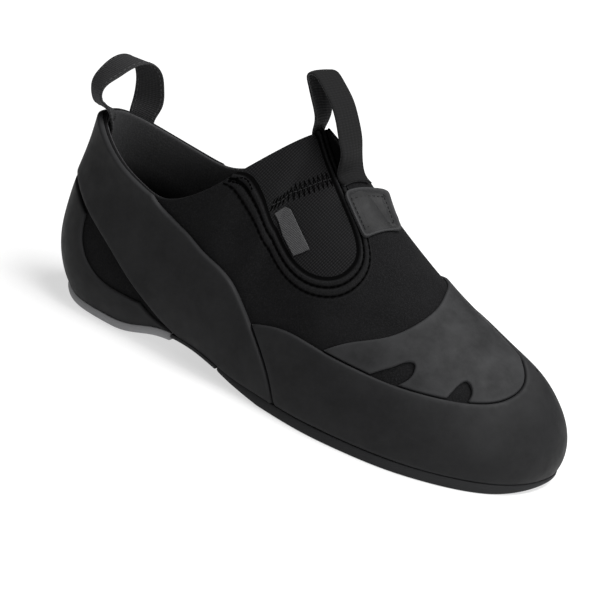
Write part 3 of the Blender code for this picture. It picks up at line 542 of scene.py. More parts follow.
def add_mesh(name, points, faces, material, nodes=(), uv=None, edge=None):
    """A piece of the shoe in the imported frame, with its finish, its own coordinates and its edge mask."""
    mesh = bpy.data.meshes.new(name)
    points = np.asarray(points, float) + SHIFT
    mesh.from_pydata([tuple(p) for p in points], [], [tuple(int(i) for i in f) for f in faces])
    mesh.update()
    mesh.shade_smooth()
    mesh.set_sharp_from_angle(angle=SHARP_ANGLE)
    if uv is not None:
        layer = mesh.uv_layers.new(name="along")
        corners = np.zeros(len(mesh.loops), int)
        mesh.loops.foreach_get("vertex_index", corners)
        layer.data.foreach_set("uv", np.asarray(uv, float)[corners].ravel())
    if edge is not None:
        mask = mesh.attributes.new("edge", "FLOAT", "POINT")
        mask.data.foreach_set("value", np.asarray(edge, float))
    for finish in (material if isinstance(material, (list, tuple)) else [material]):
        mesh.materials.append(finish)
    thing = bpy.data.objects.new(name, mesh)
    bpy.context.scene.collection.objects.link(thing)
    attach(thing, "root")
    if nodes:
        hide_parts(*nodes)
    return thing


def solid(name, spots, low, high, faces, material, nodes=(), uv=None, edge=None, inner_slot=0):
    """A closed shell between two sheets, with places on one spot joined.

    The lower sheet may have its own finish.
    """
    keys = {}
    number = np.array([keys.setdefault(tuple(np.round(p / 2e-5).astype(int)), len(keys)) for p in spots])
    total = len(keys)
    weight = np.bincount(number, minlength=total)[:, None]

    def joined(values):
        values = np.asarray(values, float)
        values = values.reshape(len(values), -1)
        sums = [np.bincount(number, column, total) for column in values.T]
        return np.stack(sums, -1) / weight

    lows, highs = joined(low), joined(high)
    faces = number[faces]
    whole = (faces[:, 0] != faces[:, 1]) & (faces[:, 1] != faces[:, 2]) & (faces[:, 2] != faces[:, 0])
    faces = faces[whole]
    directed = {(int(f[i]), int(f[(i + 1) % 3])) for f in faces for i in range(3)}
    border = sorted((a, b) for a, b in directed if (b, a) not in directed)
    walls = [(b + total, a + total, a, b) for a, b in border]
    outside = [tuple(f + total) for f in faces]
    inside = [tuple(f[::-1]) for f in faces]
    if uv is not None:
        first = np.full((total, 2), np.nan)
        for i, n in enumerate(number):
            if np.isnan(first[n, 0]):
                first[n] = uv[i]
        uv = np.vstack([first, first])
    if edge is not None:
        masks = joined(edge)
        edge = np.concatenate([masks[:, 0], masks[:, -1]])
    points, sides = np.vstack([lows, highs]), outside + inside + walls
    thing = add_mesh(name, points, sides, material, nodes, uv, edge)
    if inner_slot:
        slots = np.zeros(len(thing.data.polygons), int)
        slots[len(outside):len(outside) + len(inside)] = inner_slot
        thing.data.polygons.foreach_set("material_index", slots)
    return thing


# The paler rims of the rubber pieces: partly wear, partly a painted highlight on the rounded edges.
WEAR_AND_HIGHLIGHT_REACH = 0.0012
SOLE_WEAR_AND_HIGHLIGHT_REACH = 0.0015


def covering(name, loop, low, high, material, nodes=(), spacing=0.0015, bevel=0.0008, across=False,
             free=None, relief=None, inner_slot=0, both=False, tone=None):
    """A piece that follows the upper between two depths, rounded at its free edges, with its own relief."""
    edge = flat(loop)
    rings = [bevel * share for share in (0.2, 0.55, 1.0)]
    inner = lattice(edge, spacing, rings)
    faces = triangles_over(edge, inner)
    places = np.vstack([loop, unflat(inner)])
    chart = places.copy()
    if across:
        places = over_ridge(places)
    t, s = places[:, 0], places[:, 1]
    if callable(high):
        high = high(t, s)
    spots = base(t, s)
    line_of = subdivided(spots[:len(loop)])
    loose = np.ones(len(loop), bool) if free is None else free(chart[:len(loop), 0], chart[:len(loop), 1])
    away = distances(near_tree(line_of[np.repeat(loose, 4)]), spots)
    round_of = rounded(away, bevel)
    cut = (high - low) * (1 - round_of)
    low_depth, top_depth = (low + cut / 2, high - cut / 2) if both else (low + 0 * t, high - cut)
    if relief is not None:
        top_depth = top_depth + relief(chart[:, 0], chart[:, 1], spots)
    # The edge mask: paler rims from wear and a painted highlight, unless a tone is given.
    wear_and_highlight = np.exp(-(away / WEAR_AND_HIGHLIGHT_REACH) ** 2) if tone is None else tone(chart[:, 0], chart[:, 1], spots)
    return solid(name, spots, skin(t, s, low_depth), skin(t, s, top_depth), faces, material, nodes,
                 flat(chart), wear_and_highlight, inner_slot)


# Finishes.


class Finish:
    """A node material on one Principled shader, with short calls for the nodes that the finishes share."""

    def __init__(self, name, colour, roughness, specular=0.5, sheen=0.0):
        self.own = colour
        self.material = bpy.data.materials.new(name)
        self.material.use_nodes = True
        self.nodes = self.material.node_tree.nodes
        self.links = self.material.node_tree.links
        self.shader = self.nodes["Principled BSDF"]
        self.shader.inputs["Base Color"].default_value = (*colour, 1)
        self.shader.inputs["Roughness"].default_value = roughness
        self.shader.inputs["Specular IOR Level"].default_value = specular
        self.shader.inputs["Sheen Weight"].default_value = sheen
        self.shader.inputs["Sheen Roughness"].default_value = 0.5
        self.place = self.add("ShaderNodeTexCoord").outputs["Object"]

    def add(self, kind, **settings):
        node = self.nodes.new(kind)
        for key, value in settings.items():
            setattr(node, key, value)
        return node

    def join(self, source, target):
        self.links.new(source, target)

    def along(self):
        """The piece's own flat coordinates, in metres."""
        return self.add("ShaderNodeUVMap", uv_map="along").outputs["UV"]

    def noise(self, size, detail=2.0, rough=0.5):
        """Noise whose blotches are about as large as the given size, in metres."""
        node = self.add("ShaderNodeTexNoise")
        node.inputs["Scale"].default_value = 1 / size
        node.inputs["Detail"].default_value = detail
        node.inputs["Roughness"].default_value = rough
        self.join(self.place, node.inputs["Vector"])
        return node.outputs["Fac"]

    def mapped(self, source, low, high, to_low=0.0, to_high=1.0):
        node = self.add("ShaderNodeMapRange", clamp=True)
        for key, value in (("From Min", low), ("From Max", high), ("To Min", to_low), ("To Max", to_high)):
            node.inputs[key].default_value = value
        self.join(source, node.inputs["Value"])
        return node.outputs["Result"]

    def math(self, operation, first, second):
        node = self.add("ShaderNodeMath", operation=operation)
        for value, target in ((first, node.inputs[0]), (second, node.inputs[1])):
            if isinstance(value, (int, float)):
                target.default_value = value
            else:
                self.join(value, target)
        return node.outputs["Value"]

    def blend(self, share, first, second):
        """A colour between two others; each is a share of the finish's own colour, a colour or a socket."""
        node = self.add("ShaderNodeMix", data_type="RGBA")
        self.join(share, node.inputs["Factor"])
        for value, target in ((first, node.inputs[6]), (second, node.inputs[7])):
            if isinstance(value, float):
                value = tuple(c * value for c in self.own)
            if isinstance(value, tuple):
                target.default_value = (*value, 1)
            else:
                self.join(value, target)
        return node.outputs[2]

    def waves(self, direction, pitch, place):
        """Even ridges across a direction in the given coordinates, from 0 to 1."""
        turned = self.add("ShaderNodeVectorMath", operation="DOT_PRODUCT")
        self.join(place, turned.inputs[0])
        turned.inputs[1].default_value = tuple(2 * math.pi / pitch * d for d in direction)
        wave = self.add("ShaderNodeMath", operation="SINE")
        self.join(turned.outputs["Value"], wave.inputs[0])
        return self.mapped(wave.outputs["Value"], -1, 1)

    def edge(self):
        """The mask of the piece's paler edges, from wear and a painted highlight on rubber; on the gore
        binding and the front loop it holds painted shade.
        """
        return self.add("ShaderNodeAttribute", attribute_name="edge").outputs["Fac"]

    def colour(self, source):
        self.join(source, self.shader.inputs["Base Color"])

    def roughness(self, source):
        self.join(source, self.shader.inputs["Roughness"])

    def bump(self, *layers):
        """Relief from (height, depth in metres) layers, one on another."""
        normal = None
        for height, depth in layers:
            node = self.add("ShaderNodeBump")
            node.inputs["Strength"].default_value = 1.0
            node.inputs["Distance"].default_value = depth
            self.join(height, node.inputs["Height"])
            if normal is not None:
                self.join(normal, node.inputs["Normal"])
            normal = node.outputs["Normal"]
        self.join(normal, self.shader.inputs["Normal"])


def rubber_finish(name, colour, mottle, roughness, cloud=0.016, wear_and_highlight=1.35, specular=0.08):
    """Smooth rubber with soft blooming, fine pores and paler edges, from wear and a painted highlight on the
    rounded rims.
    """
    finish = Finish(name, colour, roughness, specular=specular)
    clouds = finish.mapped(finish.noise(cloud, 5.0, 0.6), 0.3, 0.7)
    flecks = finish.mapped(finish.noise(0.0022, 3.0, 0.65), 0.35, 0.75)
    shade = finish.blend(clouds, 1 - mottle, 1 + mottle)
    shade = finish.blend(finish.math("MULTIPLY", flecks, 0.16), shade, 1.9)
    # Paler edges: partly wear, partly a painted highlight where the rounded rims catch the light.
    shade = finish.blend(finish.math("MULTIPLY", finish.edge(), 0.55), shade, wear_and_highlight * 1.5)
    finish.colour(shade)
    finish.roughness(finish.mapped(finish.noise(0.006, 3.0), 0.3, 0.7, roughness - 0.07, roughness + 0.08))
    finish.bump((finish.noise(0.02, 2.0), 0.00035), (finish.noise(0.0009, 4.0, 0.7), 0.00004))
    return finish.material


def neoprene_finish(name, colour):
    """Foamed stretch fabric with a fine knitted face."""
    finish = Finish(name, colour, 0.9, specular=0.03, sheen=0.02)
    grain = finish.noise(0.00055, 2.0, 0.6)
    clouds = finish.noise(0.02, 3.0)
    shade = finish.blend(finish.mapped(clouds, 0.3, 0.7), 0.85, 1.2)
    shade = finish.blend(finish.mapped(grain, 0.45, 0.75), shade, 2.1)
    finish.colour(shade)
    finish.bump((finish.noise(0.004, 2.0), 0.00008), (grain, 0.0003))
    return finish.material


def binding_finish(name, colour):
    """The folded tape along the gore, painted dark as shade in its sewn grooves and beside the elastic."""
    finish = Finish(name, colour, 0.85, specular=0.03, sheen=0.01)
    grain = finish.noise(0.0005, 2.0, 0.6)
    shade = finish.blend(finish.mapped(grain, 0.35, 0.7), 0.8, 1.7)
    # Painted shade: the grooves and the step beside the elastic are coloured dark, where shade falls.
    finish.colour(finish.blend(finish.edge(), shade, 0.08))
    finish.bump((grain, 0.00012),)
    return finish.material


def elastic_finish(name, colour):
    """Ribbed elastic: ridges along the gore, crossed by the weave."""
    finish = Finish(name, colour, 0.85, specular=0.04, sheen=0.02)
    ribs = finish.mapped(finish.waves((0.847, 0.211, -0.487), 0.00095, finish.place), 0, 1, 0.25, 1.0)
    weave = finish.mapped(finish.waves((0.35, 0.471, 0.81), 0.0013, finish.place), 0, 1, 0.55, 1.0)
    both = finish.math("MULTIPLY", ribs, weave)
    clouds = finish.noise(0.012, 3.0)
    shade = finish.blend(both, 0.2, 2.2)
    finish.colour(finish.blend(finish.mapped(clouds, 0.35, 0.7, 0, 0.3), shade, 1.6))
    finish.bump((both, 0.0002),)
    return finish.material


def webbing_finish(name, colour, pitch, columns):
    """Woven tape: weft ridges across it and warp columns along it."""
    finish = Finish(name, colour, 0.75, specular=0.06, sheen=0.02)
    place = finish.along()
    weft = finish.waves((0.0, 1.0, 0.0), pitch, place)
    warp = finish.waves((1.0, 0.0, 0.0), columns, place)
    both = finish.math("MULTIPLY", finish.mapped(weft, 0, 1, 0.4, 1.0), finish.mapped(warp, 0, 1, 0.65, 1.0))
    shade = finish.blend(both, 0.45, 1.45)
    # Painted shade: faces marked in the edge mask, the inner face of the front loop, are coloured dark.
    finish.colour(finish.blend(finish.edge(), shade, 0.1))
    finish.bump((both, 0.0002), (finish.noise(0.0006, 2.0), 0.00004))
    return finish.material


# The direction towards the collar, and the heights along it between which the lining's painted shade fades
# out: below the first the lining is painted dark as shade inside the shoe.
LINING_UP = (0.27, 0.0, 1.0)
LINING_PAINTED_SHADE = (0.023, 0.034)


def lining_finish(name, colour):
    """Smooth knitted lining, painted darker low down as shade inside the shoe."""
    finish = Finish(name, colour, 0.85, specular=0.06, sheen=0.02)
    knit = finish.noise(0.0007, 2.0)
    clouds = finish.noise(0.018, 3.0)
    shade = finish.blend(finish.mapped(clouds, 0.3, 0.7), 0.85, 1.15)
    shade = finish.blend(finish.mapped(knit, 0.4, 0.7), shade, 1.35)
    # Painted shade: the lining and the insole board are coloured darker towards the bottom of the shoe.
    depth = finish.add("ShaderNodeVectorMath", operation="DOT_PRODUCT")
    finish.join(finish.place, depth.inputs[0])
    depth.inputs[1].default_value = LINING_UP
    above_painted_shade = finish.mapped(depth.outputs["Value"], *LINING_PAINTED_SHADE)
    finish.colour(finish.blend(above_painted_shade, 0.1, shade))
    finish.bump((knit, 0.0001),)
    return finish.material


def thread_finish(name, colour):
    """Twisted sewing thread."""
    finish = Finish(name, colour, 0.8, specular=0.0, sheen=0.0)
    twist = finish.noise(0.0003, 1.0)
    finish.colour(finish.blend(twist, 0.6, 1.5))
    finish.bump((twist, 0.00006),)
    return finish.material


NEOPRENE = neoprene_finish("stretch_fabric", (0.006, 0.006, 0.0063))
LINING = lining_finish("lining", (0.034, 0.034, 0.035))
RUBBER = rubber_finish("rubber", (0.0125, 0.0126, 0.0131), 0.2, 0.58)
SOLE = rubber_finish("sole_rubber", (0.012, 0.0121, 0.0126), 0.14, 0.64)
PATCH_RUBBER = rubber_finish("patch_rubber", (0.019, 0.0192, 0.0199), 0.34, 0.62, cloud=0.011, wear_and_highlight=1.2)
HEEL_RUBBER = rubber_finish("heel_rubber", (0.15, 0.15, 0.154), 0.12, 0.62)
ELASTIC = elastic_finish("elastic", (0.0075, 0.0075, 0.0078))
BINDING_CLOTH = binding_finish("gore_binding", (0.0078, 0.0078, 0.0081))
WEB = webbing_finish("webbing", (0.032, 0.032, 0.033), 0.0012, 0.0028)
HEEL_WEB = webbing_finish("heel_webbing", (0.024, 0.024, 0.0247), 0.0009, 0.0016)
THREAD = thread_finish("thread", (0.001, 0.001, 0.001))
GREY_THREAD = thread_finish("grey_thread", (0.02, 0.02, 0.0205))
LIGHT_THREAD = thread_finish("light_thread", (0.07, 0.07, 0.072))
BADGE_RUBBER = rubber_finish("moulded_badge", (0.0105, 0.0106, 0.011), 0.08, 0.5, wear_and_highlight=2.2)
TAG_CLOTH = webbing_finish("tag", (0.05, 0.05, 0.0512), 0.0005, 0.0005)
# The insole board has the lining's finish, painted darker low down as shade.
BOARD = lining_finish("insole_board", (0.016, 0.016, 0.0165))

# Seams and creases of the upper.

GORE_LINE = curve(GORE_EDGE, 0.0006)
GORE_SUNK = -(WALL - GORE) / 2

# The bound edge of a gore: a piping beside the elastic, a band, and a sewn groove on each side of the band.
# Columns: distance from the opening's edge, height over the upper, darkness, which is shade painted into the
# grooves and beside the elastic.
BINDING = [
    (-0.0011, -0.0002, 1.0),
    (-0.0003, -0.0001, 1.0),
    (0.0, 0.0001, 0.6),
    (0.0002, 0.0005, 0.0),
    (0.0006, 0.0008, 0.0),
    (0.0011, 0.0006, 0.0),
    (0.0014, 0.0002, 0.7),
    (0.0017, 0.0, 1.0),
    (0.002, 0.0002, 0.7),
    (0.0023, 0.0005, 0.0),
    (0.0029, 0.00062, 0.0),
    (0.0035, 0.0005, 0.0),
    (0.0038, 0.0002, 0.6),
    (0.0041, 0.0, 1.0),
    (0.0044, 0.00005, 0.5),
    (0.0047, 0.0001, 0.0),
    (0.0053, -0.0001, 0.0),
]
SEWN_ROWS = (0.0017, 0.0041)
BINDING_SUNK = 0.0004

# Soft troughs (-) and ridges (+) of the empty upper.
# Columns: row and height where each starts, the same where it ends, half width and depth in metres.
CREASES = [
    (10.6, 0.44, 12.6, 0.62, 0.0045, -0.0006),
    (11.0, 0.38, 12.2, 0.47, 0.0035, 0.0004),
    (12.0, 0.74, 12.4, 0.98, 0.0040, -0.0005),
    (7.1, 0.66, 8.3, 0.47, 0.0060, -0.0009),
    (6.6, 0.74, 7.6, 0.50, 0.0050, 0.0006),
    (5.9, 0.86, 7.0, 0.90, 0.0040, -0.0007),
    (8.8, 0.36, 10.6, 0.37, 0.0040, -0.0006),
    (23.4, 0.62, 21.4, 0.44, 0.0045, -0.0006),
    (26.9, 0.66, 25.7, 0.47, 0.0060, -0.0009),
    (28.1, 0.86, 27.0, 0.90, 0.0040, -0.0007),
    (29.4, 0.60, 31.4, 0.50, 0.0070, -0.0010),
]


def creased(t, s):
    """Depth of all creases at chart places."""
    here = flat(np.stack([t, s], -1))
    depth = np.zeros(len(here))
    for t0, s0, t1, s1, width, amount in CREASES:
        start, end = flat([(t0, s0)])[0], flat([(t1, s1)])[0]
        way = end - start
        share = np.clip(((here - start) @ way) / (way @ way), 0, 1)
        near = np.linalg.norm(here - start - share[:, None] * way, axis=1)
        depth += amount * np.exp(-(near / width) ** 2) * (1 - (2 * share - 1) ** 4)
    return depth


def upper_relief(t, s, spots):
    return np.where(s > 0.02, creased(t, s), 0)


def even(start, end, step):
    return np.linspace(start, end, int(round(abs(end - start) / step)) + 1)


def make_upper():
    """The stretch upper with its bound gore openings, its lining on the inside."""
    gore = GORE_LINE
    strip_top = line(gore[-1], (TONGUE, 1.0), 6)
    ridge = np.array([(t, 1.0) for t in even(TONGUE, ROWS, 0.1)])
    collar = line((0.0, 1.0), gore[0], 70)
    half = np.vstack([chain(collar, gore, strip_top, ridge), ridge[-1:]])
    whole_top = np.vstack([half[:-1], mirrored(half)])
    floor_line = np.array([(t, -0.6) for t in even(0, ROUND, 0.1)])
    upright = np.array([(0.0, v) for v in np.concatenate([[-0.6, -0.3], even(0, 1, 0.02)])])
    loop = chain(floor_line, upright + (ROUND, 0), whole_top[::-1], upright[::-1])

    def free(t, s):
        ridge_side = (s > 0.9999) & (t > TONGUE + 0.001) & (t < ROUND - TONGUE - 0.001)
        ends = ((t < 0.001) | (t > ROUND - 0.001)) & (s < 0.9999)
        return (s > 0) & ~ridge_side & ~ends

    covering("shoe_upper", loop, -WALL, 0.0, [NEOPRENE, LINING], ["upper"], spacing=0.0016,
             bevel=0.0009, free=free, relief=upper_relief, inner_slot=1, both=True)


def make_bindings():
    """The bound edge that runs round each gore opening."""
    table = np.array(BINDING)
    rows = np.stack([shifted(GORE_LINE, -distance) for distance in table[:, 0]], 1)
    rows[..., 1] = np.minimum(rows[..., 1], 1.0)
    steps, wide = rows.shape[:2]
    faces = []
    for i in range(steps - 1):
        for k in range(wide - 1):
            a, b, c, d = i * wide + k, i * wide + k + 1, (i + 1) * wide + k + 1, (i + 1) * wide + k
            faces += [(a, b, c), (a, c, d)]
    for name, turn in (("outer", False), ("inner", True)):
        chart = rows.reshape(-1, 2)
        chart = mirrored(chart) if turn else chart
        order = np.array(faces)[:, ::-1] if turn else np.array(faces)
        crease = creased(chart[:, 0], chart[:, 1])
        height = np.tile(table[:, 1], steps) + crease
        # Shade painted into the grooves, passed on as the edge mask.
        dark = np.tile(table[:, 2], steps)
        t, s = chart[:, 0], chart[:, 1]
        low, high = skin(t, s, crease - BINDING_SUNK), skin(t, s, height)
        solid(f"gore_binding_{name}", base(t, s), low, high, order, BINDING_CLOTH,
              edge=dark)


def make_gores():
    """The ribbed elastic gores, sunk a little behind the bound edge."""
    edge = shifted(GORE_LINE, SEAM)
    edge[0], edge[-1] = (edge[0][0], 1.0), (edge[-1][0], 1.0)
    loop = chain(edge, line(edge[-1], edge[0], 30))
    for name, side in (("outer", loop), ("inner", mirrored(loop))):
        covering(f"elastic_gore_{name}", side, GORE_SUNK - GORE, GORE_SUNK, ELASTIC,
                 [f"gore_{name}"], bevel=0.0006, both=True)


def edge_swell(t, s, spots):
    """Slow unevenness of hand-laid rubber."""
    wave = np.sin(spots[:, 0] * 210 + spots[:, 2] * 130) + np.sin(spots[:, 0] * 97 - spots[:, 2] * 240 + 1.3)
    return 0.00007 * wave


def make_strap():
    """The tensioned strap from the arch up and round the heel."""
    front, rear = curve(STRAP_FRONT, 0.001), curve(STRAP_REAR, 0.001)
    collar = line((0.0, 1.0), front[0], 70)
    bottom = line(rear[0], front[-1], 60)
    side = np.vstack([chain(collar, front), front[-1:]])
    loop = chain(bottom, side[::-1], flipped(side), flipped(bottom)[::-1], flipped(rear), rear[::-1])
    covering("heel_strap", loop, GAP, GAP + STRAP, RUBBER, ["strap"], bevel=0.0014,
             relief=edge_swell)


def make_heel_cup():
    """The thinner cup round the heel, with its windows."""
    seam, window, crown = (curve(part, 0.001) for part in (CUP_SEAM, CUP_WINDOW, CUP_TOP))
    half = np.vstack([chain(seam, window), crown])
    bottom = line((-HEEL_FRONT, 0.0), (HEEL_FRONT, 0.0), 160)
    loop = chain(bottom, half, flipped(half)[::-1])
    covering("heel_cup_rubber", loop, GAP, GAP + CUP, RUBBER, ["heel_cup"], bevel=0.0009,
             relief=edge_swell)


def make_rand():
    """The rand round the forefoot, closed over the toe."""
    crown, inner = curve(RAND_TOP, 0.001), over_ridge(curve(RAND_TOP_INSIDE, 0.001))
    inner[0] = (ROUND - crown[-1][0], 1.0)
    strap_edge = shifted(curve(STRAP_FRONT, 0.001), SEAM)[::-1]
    rear = np.vstack([strap_edge[strap_edge[:, 1] < crown[0][1] - SEAM / SIDE_SIZE], crown[:1]])
    rear[0, 1] = 0.0
    inner_rear = mirrored(rear)
    ridge = line(crown[-1], (ROWS, 1.0), 20)
    bottom = line(rear[0], inner_rear[-1], 260)
    ridge = np.vstack([ridge[:-1], mirrored(ridge)])
    loop = chain(bottom, inner_rear[::-1], inner[::-1], ridge[::-1], crown[::-1], rear[::-1])

    def free(t, s):
        return ~((s > 0.9999) & (np.abs(t - ROWS) < ROWS - crown[-1][0] - 0.001))

    covering("toe_rand_rubber", loop, GAP, GAP + RAND, RUBBER, ["toe_rand"], bevel=0.0011,
             free=free, relief=edge_swell)


def make_toe_patch():
    """The thin mottled patch over the toes with its notches."""
    rear = curve(PATCH_REAR, 0.001)
    rand = np.vstack([curve(RAND_TOP, 0.001)[:-1], curve(RAND_TOP_INSIDE, 0.001)])
    front = shifted(rand, SEAM)
    front = front[(front[:, 0] > rear[0][0]) | (front[:, 1] > 1)]
    front = front[(front[:, 1] < 1) | (front[:, 0] > rear[-1][0] + 0.1)]
    for notch in TOE_NOTCHES:
        cut = curve(notch, 0.001)
        first = int(np.argmax(front[:, 0] > cut[0][0] - NOTCH_CLEAR))
        last = int(np.argmax(front[:, 0] > cut[-1][0] + NOTCH_CLEAR))
        front = np.vstack([front[:first], cut, front[last:]])
    loop = np.vstack([rear[:1], front, rear[:0:-1]])
    covering("toe_patch_rubber", loop, GAP, GAP + PATCH, PATCH_RUBBER, ["toe_patch"],
             bevel=0.0009, across=True, relief=edge_swell)


# The moulded badge: a raised rim, a sunk field and a row of stitches inside the rim.
BADGE_RIM = 0.0014
BADGE_FIELD = 0.0007
BADGE_STITCHES = 0.0026


def badge_loop(inset=0.0, step=0.0006):
    """The badge's outline with round corners, drawn in by a distance."""
    corners = flat(BADGE_CORNERS)
    points = []
    for i, corner in enumerate(corners):
        before, after = corners[i - 1], corners[(i + 1) % 4]
        start, end = corner + (before - corner) * BADGE_ROUND, corner + (after - corner) * BADGE_ROUND
        share = np.linspace(0, 1, 8)[:, None]
        points += list((1 - share) ** 2 * start + 2 * share * (1 - share) * corner + share ** 2 * end)
    points = np.array(points)
    whole = np.vstack([points, points[:1]])
    run = run_along(whole)
    at = np.arange(0, run[-1], step)
    even_points = np.stack([np.interp(at, run, whole[:, i]) for i in (0, 1)], -1)
    return unflat(even_points + inwards(even_points) * inset)


def make_badge():
    """The moulded badge, flat on top, with its raised rim."""
    loop = badge_loop()
    tree = near_tree(subdivided(base(*over_ridge(loop).T)))
    level = skin(*np.array(BADGE_CORNERS)[:3].T, GAP + BADGE)
    out = np.cross(level[1] - level[0], level[2] - level[0])

    def flat_top(t, s):
        reach = ((level[0] - base(t, s)) * out).sum(-1) / (facing(t, s) * out).sum(-1)
        return np.clip(reach, BADGE / 2, BADGE * 3)

    def relief(t, s, places):
        away = distances(tree, places)
        inside = 1 / (1 + np.exp(-(away - BADGE_RIM) / 0.00018))
        row = np.exp(-((away - BADGE_STITCHES) / 0.0003) ** 2)
        return -BADGE_FIELD * inside - 0.0002 * row

    def tone(t, s, places):
        return 1 / (1 + np.exp((distances(tree, places) - BADGE_RIM) / 0.0002))

    covering("front_badge", loop, 2 * GAP, flat_top, BADGE_RUBBER, ["badge"], spacing=0.0006,
             bevel=0.0005, across=True, relief=relief, tone=tone)
    row = over_ridge(badge_loop(BADGE_STITCHES, 0.0004))
    sewn_over("badge_stitches", [row], lambda t, s: flat_top(t, s) - BADGE_FIELD - 0.00005, GREY_THREAD,
              BADGE_STITCH)


def plain_tone(t, s, places):
    return np.zeros(len(t))


def make_tag():
    """The folded side tag."""
    corners = np.array(TAG_EDGE)
    loop = chain(*[line(corners[i - 1], corners[i], 12) for i in range(len(corners))])
    covering("grey_side_tag", loop, GORE_SUNK + GAP, GORE_SUNK + GAP + TAG, TAG_CLOTH, ["side_tag"],
             spacing=0.0008, bevel=0.0002, tone=plain_tone)


# Two rows that turn off from the bound edge to a point on the collar at each gore's rear corner.
CORNER_ROWS = [
    [(6.92, 0.966), (7.14, 0.944), (7.34, 0.902), (7.52, 0.834), (7.62, 0.795)],
    [(6.92, 0.966), (7.13, 0.92), (7.38, 0.856), (7.5, 0.818), (7.58, 0.79)],
]


# Stitches. Columns: length, gap and radius.
GORE_STITCH = (0.0021, 0.0008, 0.00028)
CORNER_STITCH = (0.0016, 0.0001, 0.0004)
BADGE_STITCH = (0.0014, 0.0007, 0.00022)
SELVEDGE_STITCH = (0.0016, 0.0009, 0.00017)
TOOTH_STITCH = (1.0, 0.0, 0.00015)
MIDDLE_STITCH = (0.0018, 0.0003, 0.00026)
BACK_SEAM_STITCH = (1.0, 0.0, 0.00022)

# How high the stitches' middles lie over the cloth.
GORE_STITCH_LIFT = 0.00022
CORNER_LIFT = 0.0004


def capsule(start, end, outward, radius, sides=6):
    """Points and faces of one stitch, a little arched over the cloth."""
    way = unit(end - start)
    side = unit(np.cross(way, outward))
    lift = np.cross(side, way)
    rings = [(0.0, 0.35), (0.12, 0.8), (0.5, 1.0), (0.88, 0.8), (1.0, 0.35)]
    points = []
    for share, size in rings:
        centre = start + (end - start) * share + lift * radius * 0.6 * (1 - (2 * share - 1) ** 2)
        for k in range(sides):
            angle = 2 * math.pi * k / sides
            points.append(centre + (side * math.cos(angle) + lift * math.sin(angle)) * radius * size)
    faces = []
    for ring in range(0, (len(rings) - 1) * sides, sides):
        for k in range(sides):
            after = (k + 1) % sides
            faces.append((ring + k, ring + after, ring + sides + after, ring + sides + k))
    faces.append(tuple(range(sides))[::-1])
    faces.append(tuple((len(rings) - 1) * sides + k for k in range(sides)))
    return points, faces


def sewn(name, runs, outwards, material, stitch):
    """Stitches of one length, a gap apart, along each run of places."""
    length, gap, radius = stitch
    points, faces = [], []
    for run_places, out in zip(runs, outwards):
        run = run_along(run_places)
        count = max(int(run[-1] // (length + gap)), 1)
        pitch = run[-1] / count
        for i in range(count):
            ends = [i * pitch, i * pitch + length * pitch / (length + gap)]
            at = [np.array([np.interp(e, run, run_places[:, k]) for k in range(3)]) for e in ends]
            normal = np.array([np.interp(ends[0], run, out[:, k]) for k in range(3)])
            more, sides = capsule(at[0], at[1], normal, radius)
            faces += [tuple(len(points) + k for k in face) for face in sides]
            points += more
    add_mesh(name, points, faces, material)


def sewn_over(name, charts, depth, material, stitch):
    """Stitches along rows of chart places at the depth that a function gives."""
    runs = [skin(*chart.T, depth(*chart.T)) for chart in charts]
    sewn(name, runs, [facing(*chart.T) for chart in charts], material, stitch)


def over_creases(height):
    """The depth of a stitch that lies at a height over the creased upper."""
    return lambda t, s: creased(t, s) + height


def make_gore_stitches():
    """Two rows of stitches in the bound edge of each gore."""
    rows = [shifted(GORE_LINE, -row) for row in SEWN_ROWS]
    rows = [row[row[:, 1] < 0.995] for row in rows]
    sewn_over("gore_stitches", rows + [mirrored(row) for row in rows], over_creases(GORE_STITCH_LIFT), THREAD,
              GORE_STITCH)


def make_corner_rows():
    """Close dark stitches along the two rows at the rear corner of each gore."""
    rows = [curve(places, 0.0004) for places in CORNER_ROWS]
    sewn_over("gore_corner_rows", rows + [mirrored(row) for row in rows], over_creases(CORNER_LIFT), THREAD,
              CORNER_STITCH)


BACK_SEAM_HALF = 0.09
BACK_SEAM_STEP = 0.011


def make_back_seam():
    """The zigzag that closes the lining at the middle of the heel."""
    heights = np.arange(0.975, 0.4, -BACK_SEAM_STEP)
    side = np.where(np.arange(len(heights)) % 2 == 0, BACK_SEAM_HALF, -BACK_SEAM_HALF)
    spots, out = skin(side, heights, -WALL - 0.0001), -facing(side % ROUND, heights)
    runs = [spots[i:i + 2] for i in range(len(spots) - 1)]
    outs = [out[i:i + 2] for i in range(len(spots) - 1)]
    sewn("back_seam", runs, outs, GREY_THREAD, BACK_SEAM_STITCH)


ZIGZAG = [(8.42, 0.65), (8.9, 0.652), (9.19, 0.69), (9.43, 0.744), (9.7, 0.82)]
ZIGZAG_HALF = 0.0023
ZIGZAG_PITCH = 0.0019
ZIGZAG_LIFT = 0.00012


def zigzag_depth(t, s):
    return GORE_SUNK + ZIGZAG_LIFT


